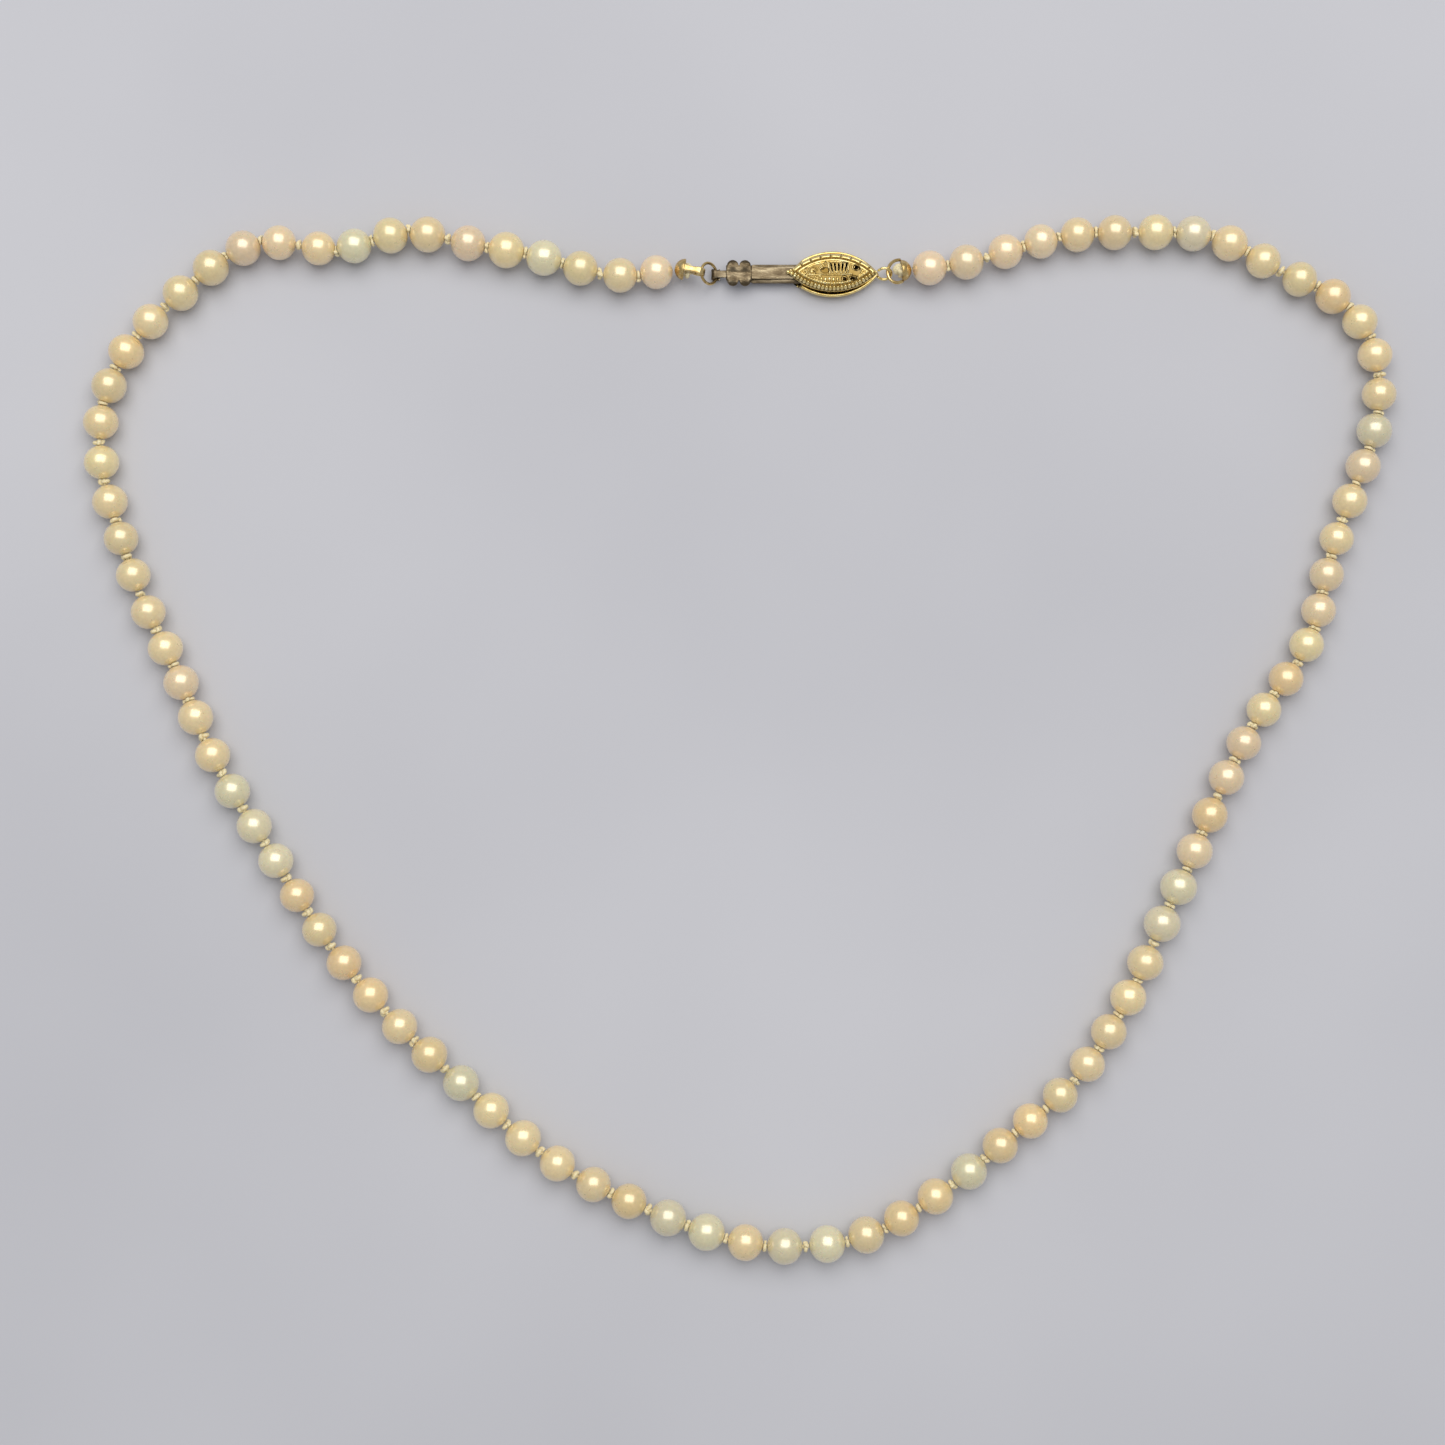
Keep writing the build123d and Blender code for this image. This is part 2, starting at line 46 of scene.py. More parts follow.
# ---------------------------------------------------------------- the strand, as designed
START = (-7.78, 58.72)
CHAIN = [
    (4.30, 0.30, 193.9), (4.40, 0.22, 176.3), (4.45, 0.62, 163.9), (4.55, 0.22, 164.6),
    (4.60, 0.22, 171.8), (4.55, 0.25, 167.8), (4.55, 0.62, 167.7), (4.55, 0.22, 195.2),
    (4.40, 0.22, 196.9), (4.30, 0.22, 170.4), (4.40, 0.62, 173.3), (4.50, 0.22, 204.1),
    (4.55, 0.22, 218.9), (4.55, 0.35, 221.3), (4.50, 0.62, 226.2), (4.50, 0.34, 236.6),
    (4.45, 0.30, 250.6), (4.45, 0.23, 264.6), (4.40, 0.62, 278.2), (4.45, 0.60, 286.5),
    (4.35, 0.38, 287.6), (4.35, 0.46, 289.7), (4.35, 0.62, 295.0), (4.45, 0.60, 296.4),
    (4.45, 0.24, 293.2), (4.45, 0.22, 292.3), (4.45, 0.70, 296.7), (4.50, 0.61, 301.5),
    (4.45, 0.64, 302.8), (4.45, 0.61, 301.7), (4.35, 0.62, 301.6), (4.40, 0.69, 304.9),
    (4.45, 0.69, 308.7), (4.50, 0.69, 310.8), (4.50, 0.80, 315.0), (4.55, 0.54, 318.5),
    (4.55, 0.69, 318.0), (4.55, 0.49, 317.8), (4.60, 0.62, 320.6), (4.55, 0.69, 326.8),
    (4.45, 0.65, 333.1), (4.45, 0.40, 336.3), (4.60, 0.70, 338.1), (4.65, 0.43, 341.2),
    (4.55, 0.38, 349.4), (4.60, 0.30, 359.5), (4.65, 0.62, 6.8), (4.65, 0.32, 19.1),
    (4.55, 0.22, 31.0), (4.55, 0.43, 34.5), (4.55, 0.62, 38.6), (4.50, 0.47, 40.2),
    (4.45, 0.32, 37.9), (4.45, 0.43, 43.4), (4.50, 0.62, 53.7), (4.50, 0.31, 58.9),
    (4.55, 0.33, 61.4), (4.60, 0.22, 66.1), (4.65, 0.62, 66.8), (4.65, 0.32, 64.3),
    (4.55, 0.28, 66.9), (4.50, 0.32, 67.0), (4.45, 0.62, 64.3), (4.40, 0.36, 61.9),
    (4.40, 0.44, 55.4), (4.35, 0.35, 53.0), (4.35, 0.62, 64.1), (4.35, 0.22, 77.1),
    (4.30, 0.22, 76.5), (4.30, 0.36, 72.0), (4.40, 0.62, 69.0), (4.40, 0.24, 68.7),
    (4.45, 0.22, 75.9), (4.35, 0.22, 88.2), (4.35, 0.62, 103.3), (4.45, 0.22, 124.7),
    (4.45, 0.22, 147.8), (4.45, 0.23, 157.3), (4.45, 0.62, 149.2), (4.55, 0.22, 154.9),
    (4.50, 0.22, 174.9), (4.50, 0.22, 180.8), (4.45, 0.62, 180.2), (4.40, 0.23, 186.3),
    (4.35, 0.26, 194.7), (4.40, 0.22, 197.4), (4.45, 0.62, 193.0), (4.40, 0.22, 184.8),
]
END_GAP = 0.30
N = len(CHAIN)
DIAM = [row[0] for row in CHAIN]
GAP = [row[1] for row in CHAIN] + [END_GAP]
BREAKS = [0] + list(range(2, N - 1, 4)) + [N]
ROOT = 11
BEND_RANGE, LIFT_RANGE, LIFT_LESS = 28.0, 25.0, {50: 20.0, 58: 20.0}
HOLE_R, THREAD_R, KNOT_R = 0.31, 0.215, 0.74

knot_xy = [Vector((START[0], START[1]))]
for i in range(N):
    run = DIAM[i] + (GAP[i] + GAP[i + 1]) / 2
    h = radians(CHAIN[i][2])
    knot_xy.append(knot_xy[-1] + Vector((run * cos(h), run * sin(h))))
lift = [DIAM[0] / 2] + [(DIAM[i - 1] + DIAM[i]) / 4 for i in range(1, N)] + [DIAM[-1] / 2]
KNOTS = [Vector((p.x, p.y, z)) for p, z in zip(knot_xy, lift)]
AXES = [(KNOTS[i + 1] - KNOTS[i]).normalized() for i in range(N)]
CENTRES = [KNOTS[i] + AXES[i] * (GAP[i] / 2 + DIAM[i] / 2) for i in range(N)]
lowest = min(CENTRES[i].z - DIAM[i] / 2 for i in range(N))
KNOTS = [k - Vector((0, 0, lowest)) for k in KNOTS]
CENTRES = [c - Vector((0, 0, lowest)) for c in CENTRES]


# ---------------------------------------------------------------- camera and light
def look_at(obj, target):
    obj.rotation_euler = (Vector(target) - obj.location).to_track_quat("-Z", "Y").to_euler()


CAM_DIST, CAM_EL = 0.30, 88.6
VIEW_W = 0.1790                       # width of the frame at the pearls' height
aim = Vector((-0.00178, 0.00210, 0.0022))
cam_data = bpy.data.cameras.new("camera")
cam = bpy.data.objects.new("camera", cam_data)
bpy.context.scene.collection.objects.link(cam)
cam.location = aim + Vector((0, -cos(radians(CAM_EL)), sin(radians(CAM_EL)))) * CAM_DIST
look_at(cam, aim)
cam_data.sensor_width = 36.0
cam_data.lens = 36.0 * CAM_DIST / VIEW_W
cam_data.clip_start, cam_data.clip_end = 0.005, 20.0
cam_data.dof.use_dof = False
bpy.context.scene.camera = cam


def area_light(name, location, target, size, size_y, power, colour):
    data = bpy.data.lights.new(name, "AREA")
    data.shape = "RECTANGLE"
    data.size, data.size_y, data.energy, data.color = size, size_y, power, colour
    obj = bpy.data.objects.new(name, data)
    bpy.context.scene.collection.objects.link(obj)
    obj.location = location
    look_at(obj, target)
    return obj


def polar(distance, tilt, toward):
    """A point at that distance, tilted from straight up towards a compass heading."""
    t, b = radians(tilt), radians(toward)
    return Vector((distance * sin(t) * cos(b), distance * sin(t) * sin(b), distance * cos(t)))


area_light("softbox_main", polar(1.30, 27, 84), (0, 0, 0), 1.45, 1.10, 1.6, (1.0, 0.99, 0.97))
area_light("softbox_core", polar(0.64, 24, 84), (0, 0, 0), 0.74, 0.60, 3.1, (1.0, 0.985, 0.95))
scene = bpy.context.scene
scene.view_settings.view_transform = "Standard"
scene.view_settings.look = "None"

world = bpy.data.worlds.new("studio")
bpy.context.scene.world = world
world.use_nodes = True
world.node_tree.nodes["Background"].inputs["Color"].default_value = (0.93, 0.95, 1.0, 1)
world.node_tree.nodes["Background"].inputs["Strength"].default_value = 0.42


# ---------------------------------------------------------------- materials
def new_material(name):
    mat = bpy.data.materials.new(name)
    mat.use_nodes = True
    tree = mat.node_tree
    bsdf = tree.nodes["Principled BSDF"]
    return mat, tree, bsdf


def node(tree, kind, **inputs):
    n = tree.nodes.new(kind)
    for key, value in inputs.items():
        n.inputs[key.replace("_", " ")].default_value = value
    return n


def object_coords(tree, scale=(1, 1, 1)):
    tc = tree.nodes.new("ShaderNodeTexCoord")
    mp = tree.nodes.new("ShaderNodeMapping")
    mp.inputs["Scale"].default_value = scale
    tree.links.new(tc.outputs["Object"], mp.inputs["Vector"])
    return mp.outputs["Vector"]


def noise_tex(tree, vec, scale, detail=2.0, rough=0.5, distortion=0.0):
    n = tree.nodes.new("ShaderNodeTexNoise")
    n.inputs["Scale"].default_value = scale
    n.inputs["Detail"].default_value = detail
    n.inputs["Roughness"].default_value = rough
    n.inputs["Distortion"].default_value = distortion
    tree.links.new(vec, n.inputs["Vector"])
    return n.outputs["Fac"]


def ramp(tree, fac, stops):
    r = tree.nodes.new("ShaderNodeValToRGB")
    els = r.color_ramp.elements
    while len(els) > 1:
        els.remove(els[-1])
    els[0].position, els[0].color = stops[0][0], (*stops[0][1], 1)
    for pos, col in stops[1:]:
        e = els.new(pos)
        e.color = (*col, 1)
    tree.links.new(fac, r.inputs["Fac"])
    return r.outputs["Color"]


def mix_colour(tree, fac, a, b, mode="MIX"):
    m = tree.nodes.new("ShaderNodeMix")
    m.data_type, m.blend_type = "RGBA", mode
    for slot_name, value in (("Factor", fac), ("A", a), ("B", b)):
        sock = [s for s in m.inputs if s.name == slot_name and s.enabled and (s.type == "RGBA" or slot_name == "Factor")][0]
        if isinstance(value, (int, float)):
            sock.default_value = value
        elif isinstance(value, tuple):
            sock.default_value = (*value, 1)
        else:
            tree.links.new(value, sock)
    return [s for s in m.outputs if s.enabled and s.type == "RGBA"][0]


def map_range(tree, fac, lo, hi, out_lo, out_hi):
    m = tree.nodes.new("ShaderNodeMapRange")
    for key, value in (("From Min", lo), ("From Max", hi), ("To Min", out_lo), ("To Max", out_hi)):
        m.inputs[key].default_value = value
    tree.links.new(fac, m.inputs["Value"])
    return m.outputs["Result"]


def bump(tree, bsdf, height, strength, distance):
    b = tree.nodes.new("ShaderNodeBump")
    b.inputs["Strength"].default_value = strength
    b.inputs["Distance"].default_value = distance
    tree.links.new(height, b.inputs["Height"])
    tree.links.new(b.outputs["Normal"], bsdf.inputs["Normal"])


def attribute(tree, name, output="Color"):
    a = tree.nodes.new("ShaderNodeAttribute")
    a.attribute_name = name
    return a.outputs[output]


def nacre():
    mat, t, b = new_material("nacre")
    vec = object_coords(t)
    tint = attribute(t, "tint")
    patches = noise_tex(t, vec, 420.0, 2.0, 0.5)
    cool = mix_colour(t, map_range(t, patches, 0.42, 0.72, 0.0, 0.20), tint, (0.80, 0.70, 0.44), "MIX")
    growth = noise_tex(t, vec, 2600.0, 3.0, 0.6)
    shade = map_range(t, growth, 0.3, 0.7, 0.93, 1.05)
    grey = t.nodes.new("ShaderNodeCombineColor")
    for k in ("Red", "Green", "Blue"):
        t.links.new(shade, grey.inputs[k])
    t.links.new(mix_colour(t, 1.0, cool, grey.outputs["Color"], "MULTIPLY"), b.inputs["Base Color"])
    t.links.new(map_range(t, noise_tex(t, vec, 900.0, 2.0), 0.3, 0.7, 0.26, 0.36), b.inputs["Roughness"])
    b.inputs["IOR"].default_value = 1.62
    b.inputs["Specular IOR Level"].default_value = 0.62
    b.inputs["Metallic"].default_value = 0.24
    b.inputs["Subsurface Weight"].default_value = 0.22
    b.inputs["Subsurface Radius"].default_value = (1.0, 0.62, 0.36)
    b.inputs["Subsurface Scale"].default_value = 0.0007
    b.inputs["Coat Weight"].default_value = 1.0
    b.inputs["Coat Roughness"].default_value = 0.16
    b.inputs["Coat IOR"].default_value = 1.68
    b.inputs["Sheen Weight"].default_value = 0.16
    b.inputs["Sheen Roughness"].default_value = 0.45
    b.inputs["Sheen Tint"].default_value = (1.0, 0.80, 0.62, 1)
    bump(t, b, noise_tex(t, vec, 5200.0, 3.0, 0.55), 0.10, 0.00002)
    return mat


def silk_floss():
    mat, t, b = new_material("silk_floss")
    vec = object_coords(t)
    fibre = noise_tex(t, vec, 9000.0, 3.0, 0.6, 0.6)
    soil = noise_tex(t, vec, 700.0, 2.0)
    col = ramp(t, fibre, [(0.28, (0.66, 0.53, 0.27)), (0.52, (0.86, 0.76, 0.48)), (0.75, (0.95, 0.88, 0.64))])
    col = mix_colour(t, map_range(t, soil, 0.40, 0.75, 0.0, 0.35), col, (0.80, 0.64, 0.36), "MIX")
    t.links.new(col, b.inputs["Base Color"])
    t.links.new(map_range(t, fibre, 0.2, 0.8, 0.62, 0.42), b.inputs["Roughness"])
    b.inputs["Sheen Weight"].default_value = 0.45
    b.inputs["Sheen Roughness"].default_value = 0.35
    b.inputs["Sheen Tint"].default_value = (1.0, 0.96, 0.80, 1)
    b.inputs["Subsurface Weight"].default_value = 0.12
    b.inputs["Subsurface Radius"].default_value = (1.0, 0.8, 0.5)
    b.inputs["Subsurface Scale"].default_value = 0.0002
    bump(t, b, fibre, 0.55, 0.00003)
    return mat


def metal(name, low, mid, high, rough, worn, recess_shade=None, patch=1100.0, streak=(1, 1, 1), grain=0.25):
    """A plated metal: colour drifts between low, mid and high, roughness between the two in rough. A dark colour given
    as recess is painted shade, mixed in by the mesh's mask of that name.
    """
    mat, t, b = new_material(name)
    vec = object_coords(t, streak)
    drift = noise_tex(t, vec, patch, 4.0, 0.6)
    col = ramp(t, drift, [(0.30, low), (0.50, mid), (0.68, high)])
    fine = noise_tex(t, vec, patch * 7.0, 3.0, 0.6)
    col = mix_colour(t, map_range(t, fine, 0.55, 0.75, 0.0, 0.45), col, worn, "MIX")
    # painted shade: the mesh's mask pulls the colour towards the dark one in hollows, gaps and hidden insides
    if recess_shade is not None:
        col = mix_colour(t, attribute(t, "recess_shade", "Fac"), col, recess_shade, "MIX")
    t.links.new(col, b.inputs["Base Color"])
    t.links.new(map_range(t, drift, 0.3, 0.7, rough[1], rough[0]), b.inputs["Roughness"])
    b.inputs["Metallic"].default_value = 1.0
    b.inputs["Anisotropic"].default_value = 0.0
    bump(t, b, fine, grain, 0.00001)
    return mat


M_PEARL = nacre()
M_SILK = silk_floss()
# the dark recess colours of the case and the lid are painted shade
M_CASE = metal("gold_polished", (0.70, 0.50, 0.16), (0.88, 0.68, 0.27), (0.98, 0.84, 0.44), (0.13, 0.24), (0.74, 0.55, 0.20),
               recess_shade=(0.045, 0.028, 0.010), grain=0.08)
M_LID = metal("gold_filigree", (0.72, 0.52, 0.17), (0.90, 0.71, 0.30), (0.99, 0.88, 0.50), (0.18, 0.32), (0.70, 0.48, 0.22),
              recess_shade=(0.16, 0.10, 0.025), patch=1500.0)
M_BRONZE = metal("bronze_worn", (0.075, 0.055, 0.032), (0.145, 0.112, 0.070), (0.27, 0.22, 0.145), (0.24, 0.44), (0.13, 0.09, 0.05),
                 patch=900.0, streak=(0.35, 1.5, 1.5), grain=0.35)
M_LEAF = metal("bronze_leaf", (0.070, 0.050, 0.028), (0.135, 0.102, 0.062), (0.28, 0.23, 0.15), (0.22, 0.40), (0.60, 0.50, 0.30),
               patch=1000.0, streak=(0.35, 1.5, 1.5), grain=0.35)
M_FIND = metal("findings_gold", (0.38, 0.25, 0.09), (0.66, 0.47, 0.19), (0.88, 0.70, 0.36), (0.18, 0.36), (0.24, 0.16, 0.07), patch=1300.0)


# ---------------------------------------------------------------- mesh helpers
def make(name, verts, faces, mat, body, nodes, sharp=None, colour=None, recess_shade=None, weld=None):
    me = bpy.data.meshes.new(name)
    me.from_pydata([(v[0] * MM, v[1] * MM, v[2] * MM) for v in verts], [], faces)
    me.validate()
    if colour is not None:
        at = me.color_attributes.new("tint", "FLOAT_COLOR", "POINT")
        at.data.foreach_set("color", np.asarray(colour, np.float32).ravel())
    if recess_shade is not None:
        at = me.attributes.new("recess_shade", "FLOAT", "POINT")
        at.data.foreach_set("value", np.asarray(recess_shade, np.float32))
    bm = bmesh.new()
    bm.from_mesh(me)
    if weld:
        bmesh.ops.remove_doubles(bm, verts=bm.verts, dist=weld * MM)
        bmesh.ops.dissolve_degenerate(bm, edges=bm.edges, dist=weld * MM * 0.5)
    bmesh.ops.recalc_face_normals(bm, faces=bm.faces)
    for f in bm.faces:
        f.smooth = True
    bm.to_mesh(me)
    bm.free()
    if sharp:
        me.set_sharp_from_angle(angle=radians(sharp))
    me.materials.append(mat)
    obj = bpy.data.objects.new(name, me)
    bpy.context.scene.collection.objects.link(obj)
    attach(obj, body)
    if nodes:
        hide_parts(*nodes)
    return obj


class Build:
    """Collects verts and faces of one piece, in millimetres."""

    def __init__(self):
        self.v, self.f, self.c, self.r = [], [], [], []

    def add(self, verts, faces, colour=None, recess_shade=0.0):
        base = len(self.v)
        self.v += [tuple(p) for p in verts]
        self.f += [tuple(base + k for k in face) for face in faces]
        if colour is not None:
            self.c += [colour] * len(verts)
        self.r += list(recess_shade) if hasattr(recess_shade, "__len__") else [recess_shade] * len(verts)


def ring_faces(rows, cols, close_rows=False, close_cols=True):
    faces = []
    for a in range(rows if close_rows else rows - 1):
        b = (a + 1) % rows
        for k in range(cols if close_cols else cols - 1):
            m = (k + 1) % cols
            faces.append((a * cols + k, a * cols + m, b * cols + m, b * cols + k))
    return faces


def basis(axis):
    axis = Vector(axis).normalized()
    side = axis.cross(Vector((0, 0, 1)))
    if side.length < 0.1:
        side = axis.cross(Vector((1, 0, 0)))
    side.normalize()
    return axis, side, axis.cross(side).normalized()


def tube(path, radius, around=12, closed=False, ply=0, ply_depth=0.0, ply_turns=0.0, flat=1.0, up=None, caps=True):
    """Verts and faces of a round tube along path; radius may be a list. ply lobes wind round it as a twisted cord."""
    path = [Vector(p) for p in path]
    n = len(path)
    tangents = []
    for k in range(n):
        a = path[(k - 1) % n] if (closed or k > 0) else path[k]
        b = path[(k + 1) % n] if (closed or k < n - 1) else path[k]
        tangents.append((b - a).normalized())
    ref = Vector(up) if up is not None else basis(tangents[0])[1]
    frames = []
    for tan in tangents:
        ref = (ref - tan * ref.dot(tan)).normalized()
        frames.append((ref.copy(), tan.cross(ref)))
    twist = 0.0
    if closed:
        end = (ref - tangents[0] * ref.dot(tangents[0])).normalized()
        twist = atan2(end.dot(frames[0][1]), end.dot(frames[0][0]))
    verts = []
    for k in range(n):
        r0 = radius[k] if hasattr(radius, "__len__") else radius
        turn = -twist * k / n
        for j in range(around):
            phi = 2 * pi * j / around
            r = r0
            if ply:
                r = r0 * (1 - ply_depth + ply_depth * abs(cos(0.5 * ply * (phi - 2 * pi * ply_turns * k / n))) * 2)
            e, g = frames[k]
            verts.append(path[k] + e * (r * cos(phi + turn)) + g * (r * flat * sin(phi + turn)))
    faces = ring_faces(n, around, close_rows=closed)
    if not closed and caps:
        for row in (0, n - 1):
            centre = sum((verts[row * around + j] for j in range(around)), Vector()) / around
            verts.append(centre)
            hub = len(verts) - 1
            faces += [(row * around + j, row * around + (j + 1) % around, hub) for j in range(around)]
    return verts, faces


def torus_arc(centre, x_dir, normal, radius, wire, a0, a1, n=72, around=14):
    x = Vector(x_dir).normalized()
    y = Vector(normal).normalized().cross(x).normalized()
    full = abs(a1 - a0) >= 359.99
    count = n
    path = []
    for k in range(count):
        a = radians(a0 + (a1 - a0) * (k / count if full else k / (count - 1)))
        path.append(Vector(centre) + x * (radius * cos(a)) + y * (radius * sin(a)))
    return tube(path, wire, around=around, closed=full, up=Vector(normal).normalized())


def revolve(origin, axis, profile, around=48, closed=True):
    """profile: (along the axis, radius) pairs. A closed profile gives a ring-shaped solid."""
    a, s, u = basis(axis)
    verts = []
    for along, r in profile:
        for j in range(around):
            phi = 2 * pi * j / around
            verts.append(Vector(origin) + a * along + s * (r * cos(phi)) + u * (r * sin(phi)))
    return verts, ring_faces(len(profile), around, close_rows=closed)


def ribbon(path, side, half_widths, thickness, edge=0.05):
    """A flat strip with rounded edges that follows path; side is across the strip."""
    path = [Vector(p) for p in path]
    n = len(path)
    section = []
    for sx, base in ((1, 0), (-1, 180)):
        for q in range(5):
            a = radians(base - 90 + 45 * q)
            section.append((sx, cos(a), sin(a)))
    verts = []
    for k in range(n):
        tan = (path[min(k + 1, n - 1)] - path[max(k - 1, 0)]).normalized()
        sd = Vector(side[k] if isinstance(side, list) else side).normalized()
        up = sd.cross(tan).normalized()
        hw = half_widths[k] if hasattr(half_widths, "__len__") else half_widths
        th = thickness / 2
        for sx, ca, sa in section:
            verts.append(path[k] + sd * (sx * (hw - edge) + edge * ca) + up * (th * sa))
    m = len(section)
    faces = ring_faces(n, m)
    faces.append(tuple(range(m)))
    faces.append(tuple((n - 1) * m + j for j in range(m)))
    return verts, faces


def ball(centre, radius, rows=8, around=12, squash=1.0, axis=(0, 0, 1)):
    a, s, u = basis(axis)
    verts, faces = [], []
    for k in range(1, rows):
        th = pi * k / rows
        for j in range(around):
            phi = 2 * pi * j / around
            verts.append(Vector(centre) + a * (radius * squash * cos(th)) + s * (radius * sin(th) * cos(phi)) + u * (radius * sin(th) * sin(phi)))
    faces = ring_faces(rows - 1, around)
    top, bottom = len(verts), len(verts) + 1
    verts += [Vector(centre) + a * radius * squash, Vector(centre) - a * radius * squash]
    faces += [(j, (j + 1) % around, top) for j in range(around)]
    last = (rows - 2) * around
    faces += [(last + j, last + (j + 1) % around, bottom) for j in range(around)]
    return verts, faces


# ---------------------------------------------------------------- pearls
SKIN = 0.982                            # the turned nacre is a little smaller than its envelope
SILVER = {3, 8, 27, 28, 29, 36, 42, 43, 45, 46, 50, 58, 59, 72, 80}
PEACH = {15, 30, 32, 33, 35, 41, 48, 49, 51, 52, 61, 65, 76}
ROSE = {0, 5, 10, 11, 24, 60, 62, 63, 67, 68, 71, 84, 85, 86, 87}
TINTS = {
    "cream": (0.89, 0.71, 0.38),
    "silver": (0.82, 0.74, 0.48),
    "peach": (0.92, 0.68, 0.34),
    "rose": (0.91, 0.70, 0.43),
}


def tint_of(i, rng):
    name = "silver" if i in SILVER else "peach" if i in PEACH else "rose" if i in ROSE else "cream"
    base = TINTS[name]
    k = 1 + rng.uniform(-0.08, 0.06)
    return tuple(min(0.97, c * k * (1 + rng.uniform(-0.02, 0.02))) for c in base) + (1.0,)


def pearl_profile(radius):
    """(angle from the hole, radius share) along the outside, then the lip and the drilled bore."""
    lip = asin((HOLE_R + 0.07) / radius)
    pts = []
    rows = 27
    for k in range(rows):
        th = lip + (pi - 2 * lip) * k / (rows - 1)
        pts.append((radius * sin(th), radius * cos(th)))
    edge = radius * cos(lip)
    top = [(HOLE_R + 0.045, edge + 0.006), (HOLE_R + 0.018, edge - 0.012), (HOLE_R, edge - 0.06)]
    bore = top[::-1] and [(HOLE_R, edge * 0.55), (HOLE_R, 0.0), (HOLE_R, -edge * 0.55)]
    bottom = [(r, -z) for r, z in top]
    # outside from top to bottom, bottom lip, up the bore, top lip
    return pts + bottom + bore[::-1] + top[::-1]


def pearl(i, build):
    rng = random.Random(4100 + i)
    radius = DIAM[i] / 2 * SKIN
    a, s, u = basis(AXES[i])
    spin = rng.uniform(0, 2 * pi)
    s2, u2 = s * cos(spin) + u * sin(spin), u * cos(spin) - s * sin(spin)
    along = rng.uniform(0.965, 1.0)
    wide = rng.uniform(0.988, 1.008)
    profile = pearl_profile(radius)
    around = 40
    seed = Vector((rng.uniform(-50, 50), rng.uniform(-50, 50), rng.uniform(-50, 50)))
    verts = []
    for r, z in profile:
        for j in range(around):
            phi = 2 * pi * j / around
            d = a * z + s2 * (r * cos(phi)) + u2 * (r * sin(phi))
            if r > HOLE_R + 0.05:
                unit = d.normalized()
                wob = 0.007 * noise.noise(unit * 1.1 + seed) + 0.0035 * noise.noise(unit * 3.1 + seed)
                near = max(0.0, 1 - sqrt(max(0.0, 1 - unit.dot(a) ** 2)) / 0.34)
                d = d * (1 + wob - 0.020 * near * near)
            d = a * (d.dot(a) * along) + s2 * (d.dot(s2) * wide) + u2 * (d.dot(u2) * (2 - wide) * 0.998)
            verts.append(CENTRES[i] + d)
    build.add(verts, ring_faces(len(profile), around, close_rows=True), colour=tint_of(i, rng))


# ---------------------------------------------------------------- silk knots
def swing_axis(j):
    left = j < BREAKS[ROOT] + 1
    rank = (BREAKS[ROOT] - j) // 4 if left else (j - BREAKS[ROOT + 1]) // 4
    if rank % 2 == 0:
        return Vector((0, 0, 1)) if left else Vector((0, 0, -1))
    outward = (AXES[j - 1] + AXES[j]).normalized() * (-1 if left else 1)
    return Vector((0, 0, 1)).cross(outward).normalized()


def swing_limit(j):
    left = j < BREAKS[ROOT] + 1
    rank = (BREAKS[ROOT] - j) // 4 if left else (j - BREAKS[ROOT + 1]) // 4
    return BEND_RANGE if rank % 2 == 0 else -LIFT_LESS.get(j, LIFT_RANGE)


def knot_tangle(centre, direction, radius, seed, spheres, strand=0.235, n=78, around=12, turns=26):
    """A hand-tied overhand knot: a twisted strand laced through itself, pressed between its neighbours."""
    rng = random.Random(seed)
    a, s, u = basis(direction)
    roll = rng.uniform(0, 2 * pi)
    s, u = s * cos(roll) + u * sin(roll), u * cos(roll) - s * sin(roll)
    lean = radians(rng.uniform(38, 66))
    e3 = a * cos(lean) + s * sin(lean)
    e1 = s * cos(lean) - a * sin(lean)
    e2 = u
    k = (radius - strand) / 3.0
    start = rng.uniform(0, 2 * pi)
    path = []
    for q in range(n):
        t = start + 2 * pi * q / n
        x, y, z = sin(t) + 2 * sin(2 * t), cos(t) - 2 * cos(2 * t), -sin(3 * t)
        path.append(Vector(centre) + e1 * (k * x) + e2 * (k * y) + e3 * (k * 1.35 * z))
    verts, faces = tube(path, strand, around=around, closed=True, ply=3, ply_depth=0.10, ply_turns=turns / 3)
    out = []
    for v in verts:
        p = Vector(v)
        for _ in range(2):
            for c, r in spheres:
                d = p - c
                if d.length < r:
                    p = c + d.normalized() * r
        out.append(p)
    return out, faces


def rotate_about(point, origin, axis, degrees_):
    return origin + Matrix.Rotation(radians(degrees_), 3, axis) @ (point - origin)


